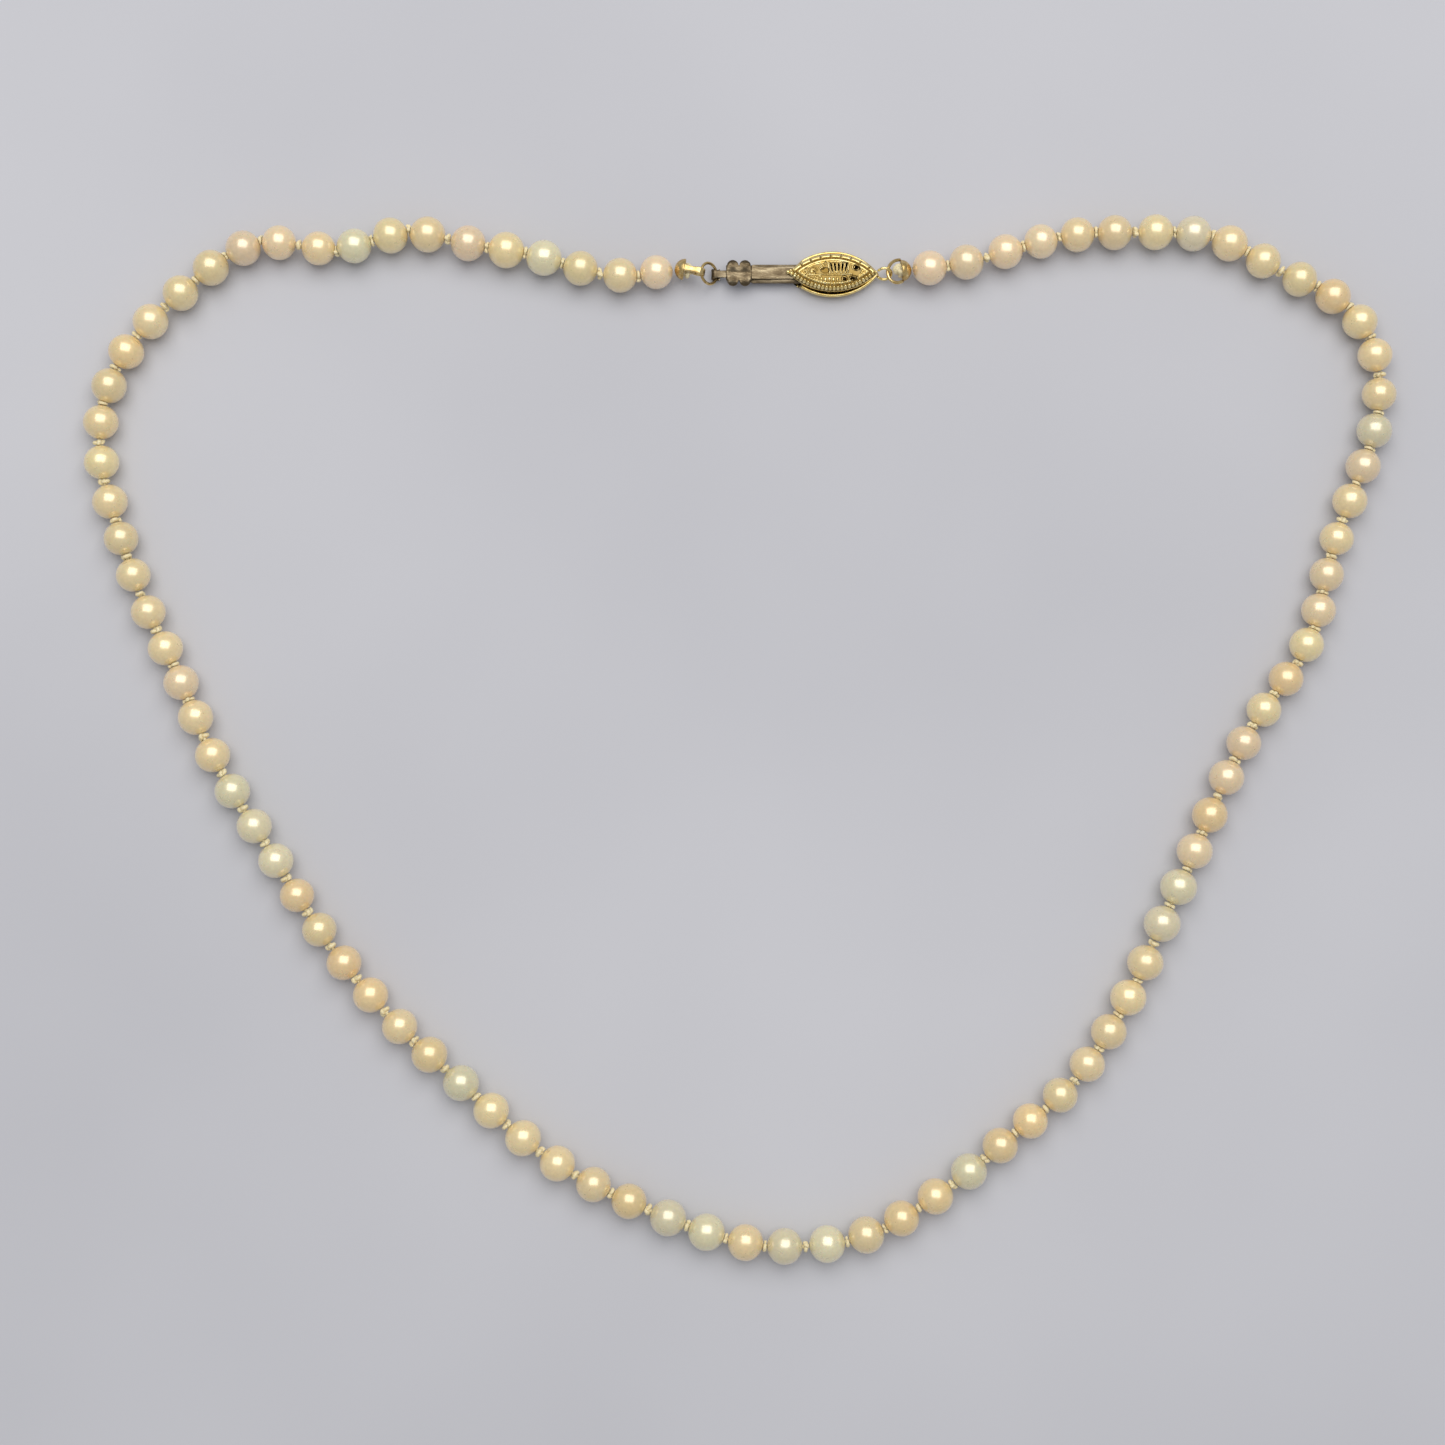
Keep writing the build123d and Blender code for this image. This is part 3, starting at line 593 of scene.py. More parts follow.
def strand_piece(s):
    first, last = BREAKS[s], BREAKS[s + 1]
    body = f"strand_{s + 1:02d}"
    shells = Build()
    for i in range(first, last):
        pearl(i, shells)
    make(f"nacre_{s + 1:02d}", shells.v, shells.f, M_PEARL, body, [f"pearls_{s + 1:02d}"], colour=shells.c)

    owns_low = s <= ROOT and first > 0
    owns_high = s >= ROOT and last < N
    own = [j for j in range(first, last + 1) if first < j < last or (j == first and owns_low) or (j == last and owns_high)]
    silk = Build()
    for j in own:
        spheres = [(CENTRES[j - 1], DIAM[j - 1] / 2 + 0.012), (CENTRES[j], DIAM[j] / 2 + 0.012)]
        if (j == first and owns_low) or (j == last and owns_high):
            beyond = j - 1 if j == first else j
            swung = rotate_about(CENTRES[beyond], KNOTS[j], swing_axis(j), swing_limit(j))
            spheres.append((swung, DIAM[beyond] / 2 + 0.012))
        rng = random.Random(900 + j)
        size = KNOT_R * rng.uniform(0.96, 1.10)
        silk.add(*knot_tangle(KNOTS[j], AXES[j - 1] + AXES[j], size, 7000 + j, spheres))
    for i in range(first, last):
        inset = GAP[i] / 2 + 0.11 if i not in own else 0.0
        outset = GAP[i + 1] / 2 + 0.11 if i + 1 not in own else 0.0
        a, b = KNOTS[i] + AXES[i] * inset, KNOTS[i + 1] - AXES[i] * outset
        path = [a.lerp(b, q / 23) for q in range(24)]
        silk.add(*tube(path, THREAD_R, around=12, ply=3, ply_depth=0.10, ply_turns=5.0))
    make(f"silk_knots_{s + 1:02d}", silk.v, silk.f, M_SILK, body, [f"silk_{s + 1:02d}"])


for s in range(len(BREAKS) - 1):
    strand_piece(s)


# ---------------------------------------------------------------- clasp housing
HX, HY = 11.95, 58.10
SPLIT_Z = 1.45


class Marquise:
    """Two equal arcs meeting in two points. inset(d) gives the outline d inside it."""

    def __init__(self, a, b):
        self.a, self.b = a, b
        self.r = (a * a + b * b) / (2 * b)
        self.c = self.r - b

    def half_length(self, d):
        return sqrt(max(1e-9, (self.r - d) ** 2 - self.c ** 2))

    def outline(self, d, m):
        """2m points anticlockwise from the right tip, north arc first."""
        rr = self.r - d
        x1 = self.half_length(d)
        a1 = asin(min(1.0, x1 / rr))
        pts = []
        for k in range(m):
            a = a1 * (1 - 2 * k / m)
            pts.append((rr * sin(a), rr * cos(a) - self.c))
        for k in range(m):
            a = -a1 * (1 - 2 * k / m)
            pts.append((rr * sin(a), -(rr * cos(a) - self.c)))
        return pts


def smooth01(x):
    x = min(1.0, max(0.0, x))
    return x * x * (3 - 2 * x)


def lens_solid(shape, rows, m, tweak=None):
    """rows: (inset, z) from the inner centre round to the outer centre. tweak may move a vertex."""
    verts = []
    for d, z in rows:
        for x, y in shape.outline(d, m):
            p = [HX + x, HY + y, z]
            if tweak:
                p = tweak(p, x, y, d)
            verts.append(p)
    cols = 2 * m
    faces = ring_faces(len(rows), cols)
    # close both ends across the lens: north point k faces south point k
    for base, flip in ((0, False), ((len(rows) - 1) * cols, True)):
        for k in range(m):
            n0, n1 = base + k, base + (k + 1 if k + 1 < m else m)
            s0, s1 = base + (cols - k) % cols if k else base, base + cols - k - 1
            if k == 0:
                quad = (n0, n1, s1)
            elif k == m - 1:
                quad = (n0, n1, s0)
            else:
                quad = (n0, n1, s1, s0)
            faces.append(quad if not flip else quad[::-1])
    return verts, faces


# lower case: smooth pressed dish with a rolled, polished rim and an open mouth at its left point
lower = Marquise(5.80, 2.85)
rows = [(2.77, 0.37), (1.8, 0.36), (1.2, 0.37), (0.92, 0.42), (0.74, 0.60), (0.66, 0.80), (0.63, 1.05), (0.61, 1.26),
        (0.59, 1.36), (0.555, 1.39), (0.52, 1.385), (0.495, 1.30), (0.465, 1.20), (0.425, 1.16), (0.385, 1.20), (0.35, 1.32),
        (0.31, 1.42), (0.25, 1.475), (0.175, 1.49), (0.10, 1.46),
        (0.035, 1.38), (0.0, 1.24), (0.0, 1.02), (0.01, 0.82), (0.05, 0.62), (0.14, 0.42), (0.27, 0.22), (0.42, 0.07),
        (0.58, 0.015), (0.80, 0.0), (1.4, 0.0), (2.77, 0.0)]


def open_mouth(p, x, y, d):
    wx = p[0]
    top = 0.35 + (1.50 - 0.35) * smooth01((wx - 7.62) / 0.55)
    if p[2] > top:
        p[2] = top
    if wx < 8.72 and p[2] > 0.36 and abs(y) > 0.2:
        reach = lower.outline_half(wx - HX)
        limit = min(1.29, reach - 0.06)
        if abs(y) < limit and d < 0.95:
            p[1] = HY + math.copysign(limit, y)
    return p


def outline_half(self, x):
    return max(0.0, sqrt(max(0.0, self.r ** 2 - x * x)) - self.c)


Marquise.outline_half = outline_half
v, f = lens_solid(lower, rows, 110, open_mouth)
# painted shade inside the case and in the groove round the lid
shade = [1.0] * 9 + [0.7, 0.8, 0.9, 1.0, 1.0, 0.95, 0.45] + [0.0] * (len(rows) - 16)
case_lower = make("clasp_case_lower", v, f, M_CASE, "clasp_housing", ["clasp_bottom_shell"], weld=0.004, sharp=50,
                  recess_shade=[w for w in shade for _ in range(220)])

# filigree lid: stamped relief on a domed marquise, pierced through
lid = Marquise(5.60, 2.35)
M_LIDCOLS = 230
rng = random.Random(77)


def spiral(cx, cy, r0, r1, a0, turns, sx=1.0, n=70):
    return [(cx + sx * (r0 + (r1 - r0) * q / n) * cos(radians(a0) + 2 * pi * turns * q / n),
             cy + (r0 + (r1 - r0) * q / n) * sin(radians(a0) + 2 * pi * turns * q / n)) for q in range(n + 1)]


def arc_line(x0, y0, x1, y1, bulge, n=50):
    out = []
    for q in range(n + 1):
        t = q / n
        out.append((x0 + (x1 - x0) * t, y0 + (y1 - y0) * t + bulge * 4 * t * (1 - t)))
    return out


# stamped wires of the inner panel: (points, half width, height)
WIRES = [
    (arc_line(-1.95, -0.30, 2.35, -0.26, -0.10), 0.10, 0.15),
    (arc_line(-0.75, 1.18, 2.25, 1.16, 0.10), 0.09, 0.13),
    (arc_line(-0.62, 1.12, -0.42, -0.22, 0.0), 0.08, 0.12),
    (arc_line(2.02, 1.12, 1.80, -0.20, 0.0), 0.08, 0.12),
    (spiral(-2.55, 0.02, 0.62, 0.12, 20, 1.6), 0.085, 0.14),
    (spiral(-1.35, 0.62, 0.36, 0.08, 200, 1.3), 0.075, 0.12),
    (spiral(-3.55, 0.00, 0.34, 0.08, 160, 1.3), 0.075, 0.12),
    (spiral(2.75, 0.55, 0.46, 0.30, 300, 0.9), 0.085, 0.13),
    (spiral(3.75, 0.05, 0.40, 0.08, 40, 1.4), 0.080, 0.13),
    (spiral(-2.05, -0.85, 0.28, 0.06, 90, 1.2), 0.070, 0.11),
    (spiral(3.35, -0.55, 0.26, 0.06, 10, 1.2), 0.070, 0.11),
    (arc_line(-3.10, 0.52, -1.10, 1.10, 0.12), 0.07, 0.10),
    (arc_line(-3.30, -0.45, -1.60, -0.50, 0.10), 0.07, 0.10),
    (arc_line(2.10, 0.95, 3.90, 0.35, 0.08), 0.07, 0.10),
]
# granules of the inner panel: (x, y, radius along x, radius along y, height)
GRAINS = [(-1.45 + 0.50 * k, -0.92 - 0.05 * (k % 2), 0.17, 0.26, 0.15) for k in range(9) if k not in (5, 8)]
GRAINS += [(-0.05 + 0.52 * k, -0.10, 0.13, 0.12, 0.13) for k in range(4)]
GRAINS += [(-4.15, 0.02, 0.16, 0.16, 0.15), (4.45, 0.0, 0.15, 0.15, 0.13), (-2.55, 0.02, 0.15, 0.15, 0.17),
           (-1.62, -0.62, 0.13, 0.13, 0.12), (2.30, -0.55, 0.12, 0.12, 0.12), (3.05, 1.0, 0.12, 0.10, 0.10),
           (-0.98, 0.92, 0.13, 0.12, 0.12), (-3.05, -0.78, 0.13, 0.12, 0.11), (2.05, -1.12, 0.14, 0.12, 0.12)]


WINDOWS = [(-0.98, 0.18, 0.46, 0.24), (2.92, 0.52, 0.35, 0.32), (1.42, -0.86, 0.31, 0.30), (2.50, -0.80, 0.42, 0.28)]


def lid_height(x, y, d, side):
    """Height and painted-shade mask of the lid's outside at arrays x, y with inset d; side +1 north, -1 south."""
    g = 1 - np.clip(1 - d / 1.35, 0, 1) ** 2.1
    z = 2.28 + 0.60 * g
    shade_mask = np.zeros_like(z)
    ang = np.arctan2(x, lid.c + np.abs(y)) * lid.r            # distance along the arc from the middle
    # rolled border: long cushions on the north side, small beads on the south side
    pitch_n, pitch_s = 1.34, 0.50
    fn = np.abs(((ang + 0.30) / pitch_n) % 1.0 - 0.5) * 2
    cush = np.sqrt(np.clip(1 - ((d - 0.31) / 0.25) ** 2, 0, 1)) * np.sqrt(np.clip(1 - (1.04 * fn) ** 6, 0, 1))
    fs = (((ang + 0.10) / pitch_s) % 1.0 - 0.5) * pitch_s
    bead = np.sqrt(np.clip(1 - ((d - 0.33) / 0.25) ** 2 - (fs / 0.235) ** 2, 0, 1))
    border = np.where(side > 0, 0.25 * cush, 0.25 * bead)
    z = z + border
    # painted shade: the low ground between the border's cushions and beads is darkened
    shade_mask = np.maximum(shade_mask, np.where((d > 0.04) & (d < 0.62), np.clip(1 - border / 0.10, 0, 1), 0))
    # groove inside the border, with painted shade in it from the mask
    z = z - 0.07 * np.exp(-((d - 0.64) / 0.07) ** 2)
    shade_mask = np.maximum(shade_mask, 0.9 * np.exp(-((d - 0.64) / 0.07) ** 2))
    # inner ridge, beaded on the south side
    fr = np.abs((ang / 0.37) % 1.0 - 0.5) * 2
    ridge = np.sqrt(np.clip(1 - ((d - 0.86) / 0.15) ** 2, 0, 1))
    ridge = np.where(side > 0, ridge * 0.15, ridge * (0.05 + 0.12 * np.sqrt(np.clip(1 - fr ** 2, 0, 1))))
    z = z + ridge
    # inner panel sits lower and carries the stamped wires and granules
    inside = np.clip((d - 1.00) / 0.10, 0, 1)
    panel = np.zeros_like(z)
    for pts, half, high in WIRES:
        pts = np.array(pts)
        near = np.full(x.shape, 9.0)
        for k in range(0, len(pts), 2):
            near = np.minimum(near, (x - pts[k, 0]) ** 2 + (y - pts[k, 1]) ** 2)
        near = np.sqrt(near)
        panel = np.maximum(panel, high * np.sqrt(np.clip(1 - (near / half) ** 2, 0, 1)))
    for gx, gy, rx, ry, high in GRAINS:
        panel = np.maximum(panel, high * np.sqrt(np.clip(1 - ((x - gx) / rx) ** 2 - ((y - gy) / ry) ** 2, 0, 1)))
    z = z + inside * (panel - 0.10)
    # shallow pits round the windows, darkened as painted shade
    for wx, wy, wrx, wry in WINDOWS:
        q = ((x - wx) / (wrx + 0.10)) ** 2 + ((y - wy) / (wry + 0.10)) ** 2
        pit = np.clip((1.15 - q) / 0.35, 0, 1)
        z = z - 0.06 * pit
        shade_mask = np.maximum(shade_mask, pit)
    # painted shade on the panel's ground between the wires and granules
    shade_mask = np.maximum(shade_mask, inside * np.clip(1 - panel / 0.07, 0, 1) * 0.92)
    return z, shade_mask


top_rows = list(np.linspace(0.0, 1.10, 50)) + list(np.linspace(1.125, 2.30, 44))
verts, recess_shade = [], []
cols = 2 * M_LIDCOLS
outer_wall = [(0.0, 1.40), (0.0, 1.62), (0.0, 1.95), (0.0, 2.22)]
inner_rows = [(2.25, 2.52), (1.60, 2.52), (1.20, 2.50), (0.80, 2.36), (0.50, 2.18), (0.36, 2.05), (0.34, 1.80), (0.34, 1.44), (0.30, 1.40), (0.06, 1.40)]
# the lid's underside and walls get a light painted shade
for d, z in inner_rows + outer_wall:
    for x, y in lid.outline(d, M_LIDCOLS):
        verts.append([HX + x, HY + y, z])
        recess_shade.append(0.15)
for d in top_rows:
    pts = np.array(lid.outline(d, M_LIDCOLS))
    side = np.array([1.0] * M_LIDCOLS + [-1.0] * M_LIDCOLS)
    z, shade_mask = lid_height(pts[:, 0], pts[:, 1], np.full(cols, d), side)
    for (x, y), zz, mk in zip(pts, z, shade_mask):
        verts.append([HX + x, HY + y, float(zz)])
        recess_shade.append(float(mk))
n_rows = len(inner_rows) + len(outer_wall) + len(top_rows)
faces = ring_faces(n_rows, cols)
for base, flip in ((0, False), ((n_rows - 1) * cols, True)):
    for k in range(M_LIDCOLS):
        n0, n1 = base + k, base + (k + 1 if k + 1 < M_LIDCOLS else M_LIDCOLS)
        s0, s1 = base + (cols - k) % cols if k else base, base + cols - k - 1
        quad = (n0, n1, s1) if k == 0 else (n0, n1, s0) if k == M_LIDCOLS - 1 else (n0, n1, s1, s0)
        faces.append(quad if not flip else quad[::-1])
# the lid's left point is raised over the tongue
for p in verts:
    if p[0] < 8.20 and p[2] < 2.10:
        p[2] = p[2] + (2.10 - p[2]) * smooth01((8.20 - p[0]) / 0.35)
lid_obj = make("clasp_filigree_lid", verts, faces, M_LID, "clasp_housing", ["clasp_top_shell"], recess_shade=recess_shade, weld=0.004, sharp=60)


def prism(points, z0, z1):
    n = len(points)
    vs = [(p[0], p[1], z0) for p in points] + [(p[0], p[1], z1) for p in points]
    fs = [tuple(range(n))[::-1], tuple(n + k for k in range(n))]
    fs += [(k, (k + 1) % n, n + (k + 1) % n, n + k) for k in range(n)]
    return vs, fs


def pierce(obj, outlines, z0, z1):
    """Cuts each outline through obj with an exact boolean; a cut that leaves part of its cutter is tried again, nudged."""
    done = 0
    for pts in outlines:
        for attempt in range(6):
            nudge = 0.013 * attempt
            vs, fs = prism([(x + nudge, y - 0.7 * nudge) for x, y in pts], z0, z1 + 0.07 * attempt)
            me = bpy.data.meshes.new("cutter")
            me.from_pydata([(x * MM, y * MM, z * MM) for x, y, z in vs], [], fs)
            bm = bmesh.new()
            bm.from_mesh(me)
            bmesh.ops.recalc_face_normals(bm, faces=bm.faces)
            bmesh.ops.triangulate(bm, faces=bm.faces)
            bm.to_mesh(me)
            bm.free()
            cutter = bpy.data.objects.new("cutter", me)
            bpy.context.scene.collection.objects.link(cutter)
            mod = obj.modifiers.new("pierce", "BOOLEAN")
            mod.operation, mod.solver, mod.object = "DIFFERENCE", "EXACT", cutter
            dg = bpy.context.evaluated_depsgraph_get()
            result = bpy.data.meshes.new_from_object(obj.evaluated_get(dg), preserve_all_data_layers=True, depsgraph=dg)
            obj.modifiers.remove(mod)
            bpy.data.objects.remove(cutter)
            bpy.data.meshes.remove(me)
            highest = max(v.co.z for v in result.vertices) if len(result.vertices) else 9.0
            good = len(result.polygons) > 0.8 * len(obj.data.polygons) and len(result.vertices) != len(obj.data.vertices) and highest < (z1 - 0.02) * MM
            if good:
                old = obj.data
                obj.data = result
                result.name = old.name
                bpy.data.meshes.remove(old)
                done += 1
                break
            bpy.data.meshes.remove(result)
    print("PIERCED", done, "of", len(outlines))


def slot_outline(x0, y0, x1, y1, half0, half1, n=5):
    """Rounded slit from (x0,y0) to (x1,y1)."""
    d = Vector((x1 - x0, y1 - y0)).normalized()
    s = Vector((-d.y, d.x))
    pts = []
    for (cx, cy), h, start in (((x1, y1), half1, -90), ((x0, y0), half0, 90)):
        for k in range(n):
            a = radians(start + 180 * k / (n - 1))
            e = d * cos(a) + s * sin(a)
            pts.append((HX + cx + e.x * h, HY + cy + e.y * h))
    return pts


def blob_outline(cx, cy, rx, ry, corners, turn=0.0, soft=0.35):
    pts = []
    for k in range(24):
        a = 2 * pi * k / 24
        w = 1 - soft * abs(sin(corners * a / 2)) ** 1.5
        x, y = rx * w * cos(a), ry * w * sin(a)
        t = radians(turn)
        pts.append((HX + cx + x * cos(t) - y * sin(t), HY + cy + x * sin(t) + y * cos(t)))
    return pts


outlines = [slot_outline(0.72 + (k - 2) * 0.40, 0.14, 0.72 + (k - 2) * 0.50, 0.98, 0.11, 0.145) for k in range(5)]
outlines.append(blob_outline(-0.98, 0.18, 0.46, 0.24, 3, 12, 0.25))
outlines.append(blob_outline(2.92, 0.52, 0.35, 0.32, 4, 20, 0.30))
outlines.append(blob_outline(1.42, -0.86, 0.31, 0.30, 4, 45, 0.28))
outlines.append(blob_outline(2.50, -0.80, 0.42, 0.28, 5, 10, 0.30))
pierce(lid_obj, outlines, 2.1, 3.6)

# soldered beads at the lid's points, standing on the border
beads = Build()
for bx, by, br in ((-5.58, 0.03, 0.24), (-5.17, -0.16, 0.25), (-4.83, 0.34, 0.20), (-4.76, -0.46, 0.20), (-5.25, 0.25, 0.15), (5.34, 0.02, 0.20)):
    base = 2.32 + (0.10 if abs(bx) < 5.2 else 0.0)
    beads.add(*ball((HX + bx, HY + by, base + 0.14), br, 10, 16, 0.85))
beads_obj = make("clasp_tip_beads", beads.v, beads.f, M_LID, "clasp_housing", None, recess_shade=[0.0] * len(beads.v))

# end loop: soldered wire at the right point
LOOP_R, LOOP_WIRE, LOOP_TILT = 0.875, 0.175, 50.0
LINK_X, LINK_Z = 18.84, 1.50
loop_x = LINK_X + 0.20 + LOOP_WIRE + 0.05 - LOOP_R
normal = Vector((0, -sin(radians(LOOP_TILT)), cos(radians(LOOP_TILT))))
v, f = torus_arc((loop_x, HY, LINK_Z), (1, 0, 0), normal, LOOP_R, LOOP_WIRE, -148, 148, 60, 14)
loop_obj = make("clasp_loop_wire", v, f, M_CASE, "clasp_housing", ["clasp_end_loop"])


# ---------------------------------------------------------------- tongue
def plate(points, plane, thickness, bevel=0.05):
    """Solid of a flat outline on a plane (origin, x, y, normal) with rounded edges, as verts and faces."""
    o, ex, ey, ez = plane
    bm = bmesh.new()
    low = [bm.verts.new(o + ex * x + ey * y) for x, y in points]
    face = bm.faces.new(low)
    res = bmesh.ops.extrude_face_region(bm, geom=[face])
    up = [g for g in res["geom"] if isinstance(g, bmesh.types.BMVert)]
    bmesh.ops.translate(bm, verts=up, vec=ez * thickness)
    bmesh.ops.recalc_face_normals(bm, faces=bm.faces)
    rim = [e for e in bm.edges if abs((e.verts[0].co - e.verts[1].co).normalized().dot(ez)) < 0.5]
    bmesh.ops.bevel(bm, geom=rim, offset=bevel, segments=3, profile=0.5, affect="EDGES", clamp_overlap=True)
    bm.verts.index_update()
    verts = [v.co.copy() for v in bm.verts]
    faces = [tuple(v.index for v in f.verts) for f in bm.faces]
    bm.free()
    return verts, faces


LEAF_Z, LEAF_T, LEAF_HALF, FOLD_X = 1.15, 0.25, 1.175, 9.55
SPRING_T, SPRING_HALF, SPRING_RISE = 0.22, 0.75, 2.2
CURL_X, CURL_Z = -2.62, 0.85

flat = (Vector((0, HY, LEAF_Z)), Vector((1, 0, 0)), Vector((0, 1, 0)), Vector((0, 0, 1)))


def rounded(points, radius, n=5):
    """Rounds every corner of a closed outline."""
    out = []
    m = len(points)
    for k in range(m):
        p0, p1, p2 = (Vector(points[(k + q) % m]) for q in (-1, 0, 1))
        a, b = (p0 - p1), (p2 - p1)
        r = min(radius, 0.45 * a.length, 0.45 * b.length)
        s, e = p1 + a.normalized() * r, p1 + b.normalized() * r
        for q in range(n):
            t = q / (n - 1)
            w = (1 - t) ** 2 * s + 2 * t * (1 - t) * p1 + t * t * e
            out.append((w.x, w.y))
    return out


base_outline = rounded([
    (FOLD_X, -0.95), (FOLD_X, 0.95), (FOLD_X - 0.35, LEAF_HALF), (1.90, LEAF_HALF), (1.30, 0.62),
    (-1.20, 0.46), (-2.52, 0.44), (-2.52, -0.44), (-1.20, -0.46), (1.30, -0.62),
    (1.90, -LEAF_HALF), (FOLD_X - 0.35, -LEAF_HALF)], 0.28)
tongue = Build()
tongue.add(*plate(base_outline, flat, LEAF_T, 0.06))
# pressed side rails give the strip its two long lines
for sy in (-1, 1):
    rail = [Vector((x, HY + sy * 1.02, LEAF_Z + LEAF_T + 0.005)) for x in np.linspace(2.2, 9.1, 40)]
    tongue.add(*tube(rail, [0.085 * min(1, 0.35 + min(q, 39 - q) / 4) for q in range(40)], around=10, flat=0.8, up=(0, 1, 0)))
# rolled end: the neck curls down and round the jump ring
curl = []
widths = []
for q in range(46):
    a = radians(62 + 312 * q / 45)
    rr = 0.470 - 0.02 * q / 45
    curl.append(Vector((CURL_X + rr * cos(a), HY, CURL_Z + rr * sin(a))))
    widths.append(0.47 + 0.22 * smooth01(q / 14))
tongue.add(*ribbon(curl, (0, 1, 0), widths, 0.20, 0.07))
tongue_obj = make("tongue_strip", tongue.v, tongue.f, M_BRONZE, "clasp_tongue", ["tongue_base"], sharp=35)


def leaf_z(x):
    return LEAF_Z + LEAF_T + 0.05 + (FOLD_X - x) * sin(radians(SPRING_RISE))


ex = Vector((-cos(radians(SPRING_RISE)), 0, sin(radians(SPRING_RISE))))
ez = Vector((sin(radians(SPRING_RISE)), 0, cos(radians(SPRING_RISE))))
ey = ez.cross(ex)
slope = (Vector((FOLD_X, HY, leaf_z(FOLD_X))), ex, ey, ez)
leaf = Build()
strip = rounded([(-0.18, -SPRING_HALF + 0.08), (FOLD_X - 1.6, -SPRING_HALF), (FOLD_X - 1.6, SPRING_HALF), (-0.18, SPRING_HALF - 0.08)], 0.12)
leaf.add(*plate(strip, slope, SPRING_T, 0.05))
# folded nose that joins the leaf to the strip below
nose = []
for q in range(13):
    a = radians(-90 + 180 * q / 12)
    nose.append(Vector((FOLD_X - 0.02 + 0.14 * cos(a), HY, LEAF_Z + LEAF_T + 0.135 + 0.10 * sin(a))))
leaf.add(*ribbon(nose, (0, 1, 0), 0.66, 0.16, 0.05))


# thumb tab: a scalloped plate with four pressed lobes
TAB_X0, TAB_X1, TAB_T = -1.35, 1.87, 0.34
LOBES = [(FOLD_X - x, y) for x in (-0.52, 1.02) for y in (-0.93, 0.93)]
mid = (FOLD_X - (TAB_X0 + TAB_X1) / 2, 0.0)


def tab_reach(angle):
    dx, dy = cos(angle), sin(angle)
    best = min((TAB_X1 - TAB_X0) / 2 / max(1e-6, abs(dx)), 0.95 / max(1e-6, abs(dy)))
    for lx, ly in LOBES:
        ox, oy = mid[0] - lx, mid[1] - ly
        b = ox * dx + oy * dy
        c = ox * ox + oy * oy - 0.71 ** 2
        disc = b * b - c
        if disc > 0 and -b + sqrt(disc) > best and -b - sqrt(disc) < best + 0.25:
            best = -b + sqrt(disc)
    return best


TAB_COLS, tab_rows = 160, []
profile = [(k / 14, TAB_T) for k in range(0, 13)] + [(0.955, TAB_T - 0.02), (0.985, TAB_T - 0.07), (1.0, TAB_T - 0.15),
                                                    (0.985, 0.06), (0.95, 0.01)] + [(k / 14, 0.0) for k in range(12, -1, -2)]
tv, tf = [], []
for share, high in profile[1:-1]:
    for j in range(TAB_COLS):
        ang = 2 * pi * j / TAB_COLS
        r = tab_reach(ang) * share
        x, y = mid[0] + r * cos(ang), mid[1] + r * sin(ang)
        z = high
        if high > 0.12:
            for lx, ly in LOBES:
                q = ((x - lx) ** 2 + (y - ly * 0.93) ** 2) / 0.42 ** 2
                z += 0.13 * math.exp(-q)
            z -= 0.07 * math.exp(-((y / 0.30) ** 2)) * (1 if share < 0.9 else 0.3)
            # the lobes' outer edges curl down
            z -= 0.10 * smooth01((abs(y) - 1.15) / 0.5)
        if high <= 0.12:
            z -= 0.08 * smooth01((abs(y) - 1.15) / 0.5)
        tv.append(slope[0] + ex * x + ey * y + ez * z)
tf = ring_faces(len(profile) - 2, TAB_COLS)
for row, high in ((0, TAB_T - 0.07), (len(profile) - 3, 0.0)):
    tv.append(slope[0] + ex * mid[0] + ey * mid[1] + ez * high)
    tf += [(row * TAB_COLS + j, row * TAB_COLS + (j + 1) % TAB_COLS, len(tv) - 1) for j in range(TAB_COLS)]
leaf.add(tv, tf)
leaf_obj = make("tongue_thumb_leaf", leaf.v, leaf.f, M_LEAF, "thumb_leaf", ["tongue_spring_leaf"], sharp=40)

# ---------------------------------------------------------------- jump ring
RING_R, RING_WIRE, RING_TILT, RING_SEAT = 1.30, 0.18, 43.8, 0.12
ring_dir = Vector((-cos(radians(RING_TILT)), 0, sin(radians(RING_TILT))))
ring_c = Vector((CURL_X, HY, CURL_Z)) + ring_dir * (RING_R - RING_SEAT)
ring_n = Vector((0, 1, 0)).cross(ring_dir)
jr = Build()
jr.add(*torus_arc(ring_c, ring_dir, ring_n, RING_R, RING_WIRE, 62.0, 62.0 + 358.6, 96, 16))
ring_obj = make("jump_ring_wire", jr.v, jr.f, M_FIND, "jump_ring", ["jump_ring"], sharp=50)
ring_left = ring_c + ring_dir * RING_R

# ---------------------------------------------------------------- bead tips and end knots
CUP_R, CUP_WALL, CUP_HOLE = 1.35, 0.20, 0.30


def cup_profile(depth0=0.0):
    """(along, radius) of a cup open towards minus, with a rolled lip and a hole at its base."""
    pts = []
    lip = radians(78)
    a_hole = asin(CUP_HOLE / CUP_R)
    for k in range(15):
        a = lip - (lip - a_hole) * k / 14
        pts.append((CUP_R * cos(a), CUP_R * sin(a)))
    inner = CUP_R - CUP_WALL
    a_hole = asin(CUP_HOLE / inner)
    for k in range(15):
        a = a_hole + (lip - a_hole) * k / 14
        pts.append((inner * cos(a), inner * sin(a)))
    # rolled lip
    x0 = CUP_R * cos(lip)
    pts += [(x0 - 0.10, inner - 0.01), (x0 - 0.16, inner + 0.04), (x0 - 0.17, CUP_R - 0.09), (x0 - 0.13, CUP_R - 0.03), (x0 - 0.06, CUP_R - 0.01)]
    return pts


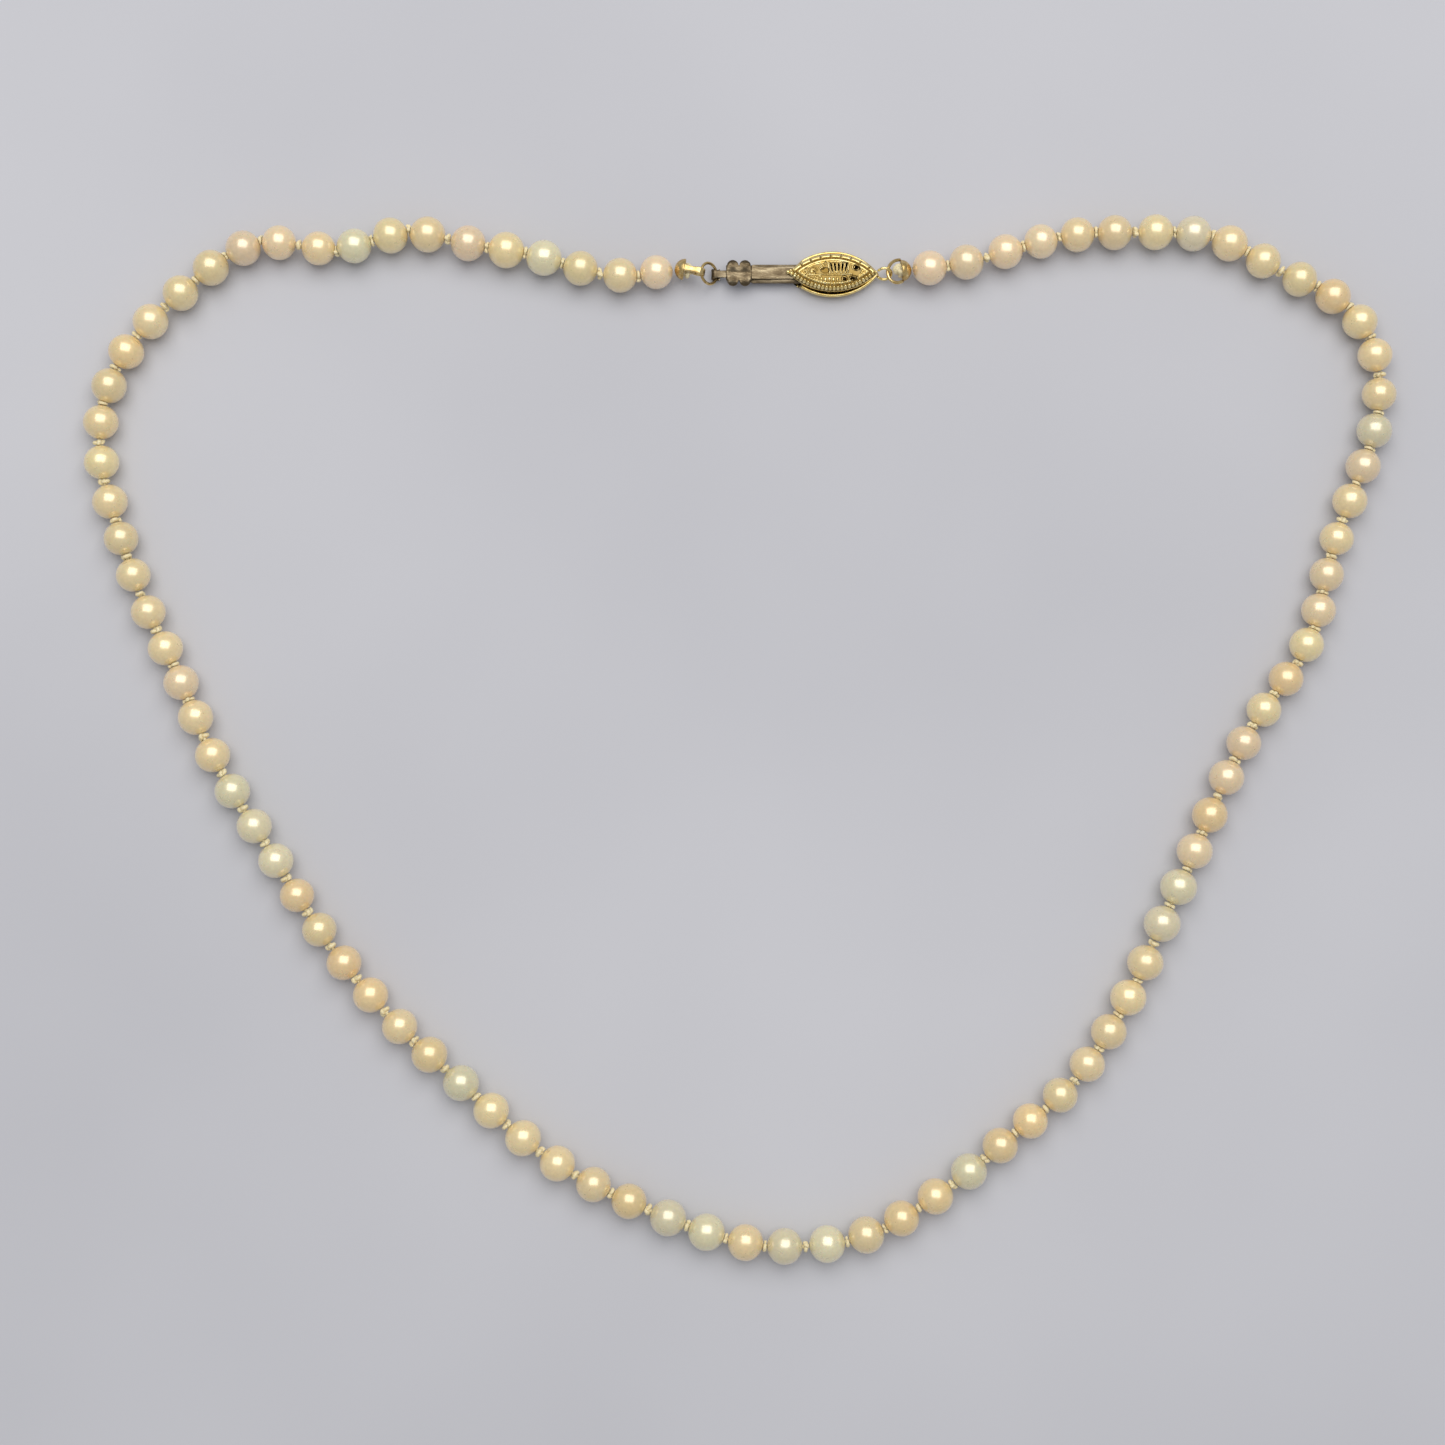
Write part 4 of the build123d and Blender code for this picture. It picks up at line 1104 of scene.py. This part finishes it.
first_knot = KNOTS[0]
left_dir = Vector((first_knot.x - ring_left.x, first_knot.y - ring_left.y, 0))
left_len = left_dir.length
left_dir.normalize()
left_side = Vector((0, 0, 1)).cross(left_dir)
cup_z = first_knot.z
left_cup = Vector((ring_left.x, ring_left.y, cup_z)) + left_dir * (left_len + GAP[0] / 2 - 0.20 - CUP_R)
hook_c = ring_left + left_dir * 0.36

tip = Build()
tip.add(*revolve(left_cup, left_dir, cup_profile(), 56))
# strip from the lip, then the roll round the jump ring
path, side_dirs, widths = [], [], []
reach = (left_cup - Vector((ring_left.x, ring_left.y, cup_z))).length
start = ring_left * 1.0
start.z = 0
lip_pt = start + left_dir * (reach + 0.10) + Vector((0, 0, cup_z + CUP_R - 0.12))
arc_r = 0.725
a0 = radians(98)
arc_start = hook_c - left_dir * (arc_r * -cos(a0) * -1) + Vector((0, 0, arc_r * sin(a0)))
arc0 = hook_c + left_dir * (-arc_r * cos(a0)) + Vector((0, 0, arc_r * sin(a0)))
for q in range(12):
    t = q / 12
    p = lip_pt.lerp(arc0, t)
    path.append(p)
    widths.append(0.46 - 0.10 * sin(pi * t))
for q in range(44):
    a = a0 - radians(322) * q / 43
    path.append(hook_c + left_dir * (-arc_r * cos(a)) + Vector((0, 0, arc_r * sin(a))) * 1.0)
    widths.append(0.46 - 0.08 * q / 43)
tip.add(*ribbon(path, left_side, widths, 0.21, 0.08))
tip_left = make("bead_tip_cup_left", tip.v, tip.f, M_FIND, "left_tip", ["bead_tip_left"], sharp=55)


def end_tangle(centre, direction, radius, seed):
    b = Build()
    for k, (sc, st) in enumerate(((1.0, 0.29), (0.84, 0.27))):
        v, f = knot_tangle(centre, Vector(direction) + Vector((0.0, 0.15 * k, 0.2 * k)), radius * sc, seed + k, [], strand=st, n=90, turns=24)
        b.add(v, f)
    return b


ek = end_tangle(left_cup - left_dir * 0.34, left_dir, 1.02, 510)
stub = [left_cup.lerp(left_cup + left_dir * (CUP_R - 0.03), q / 11) for q in range(12)]
ek.add(*tube(stub, THREAD_R, around=12, ply=3, ply_depth=0.1, ply_turns=1.6))
make("end_knot_silk_left", ek.v, ek.f, M_SILK, "left_tip", ["end_knot_left"])

TIP_RING_R, TIP_RING_WIRE, TIP_RING_TILT = 1.40, 0.20, 27.0
link = Vector((LINK_X, HY, LINK_Z))
last_knot = KNOTS[-1]
right_dir = Vector((last_knot.x - link.x, last_knot.y - link.y, 0))
right_len = right_dir.length
right_dir.normalize()
right_side = Vector((0, 0, 1)).cross(right_dir)
right_cup = Vector((link.x, link.y, last_knot.z)) + right_dir * (right_len + END_GAP / 2 - 0.07 - CUP_R)
slant = right_dir * cos(radians(TIP_RING_TILT)) + Vector((0, 0, sin(radians(TIP_RING_TILT))))
tip_ring_c = link + slant * TIP_RING_R
tip = Build()
tip.add(*revolve(right_cup, right_dir, cup_profile(), 56))
tip.add(*torus_arc(tip_ring_c, slant * -1, right_side.cross(slant), TIP_RING_R, TIP_RING_WIRE, -110, 110, 72, 16))
tip_right = make("bead_tip_cup_right", tip.v, tip.f, M_FIND, "strand_23", ["bead_tip_right"], sharp=55)
ek = end_tangle(right_cup - right_dir * 0.05, right_dir, 0.98, 610)
stub = [right_cup.lerp(right_cup + right_dir * (CUP_R + 0.05), q / 11) for q in range(12)]
ek.add(*tube(stub, THREAD_R, around=12, ply=3, ply_depth=0.1, ply_turns=1.6))
make("end_knot_silk_right", ek.v, ek.f, M_SILK, "strand_23", ["end_knot_right"])

# pieces whose CAD shape is final
for name, mat in (("clasp_catch_bar", M_CASE), ("tongue_catch_hook", M_BRONZE)):
    obj = NODES[name]
    if obj.material_slots:
        obj.material_slots[0].material = mat
    else:
        obj.data.materials.append(mat)

# ---------------------------------------------------------------- floor
floor_me = bpy.data.meshes.new("floor")
bm = bmesh.new()
bmesh.ops.create_grid(bm, x_segments=1, y_segments=1, size=2.5)
bm.to_mesh(floor_me)
bm.free()
floor = bpy.data.objects.new("floor", floor_me)
bpy.context.scene.collection.objects.link(floor)
fm, t, b = new_material("floor_pale")
vec = object_coords(t)
cloud = noise_tex(t, vec, 9.0, 3.0, 0.5)
t.links.new(ramp(t, cloud, [(0.3, (0.53, 0.53, 0.565)), (0.7, (0.60, 0.60, 0.635))]), b.inputs["Base Color"])
b.inputs["Roughness"].default_value = 0.85
b.inputs["Specular IOR Level"].default_value = 0.2
floor_me.materials.append(fm)
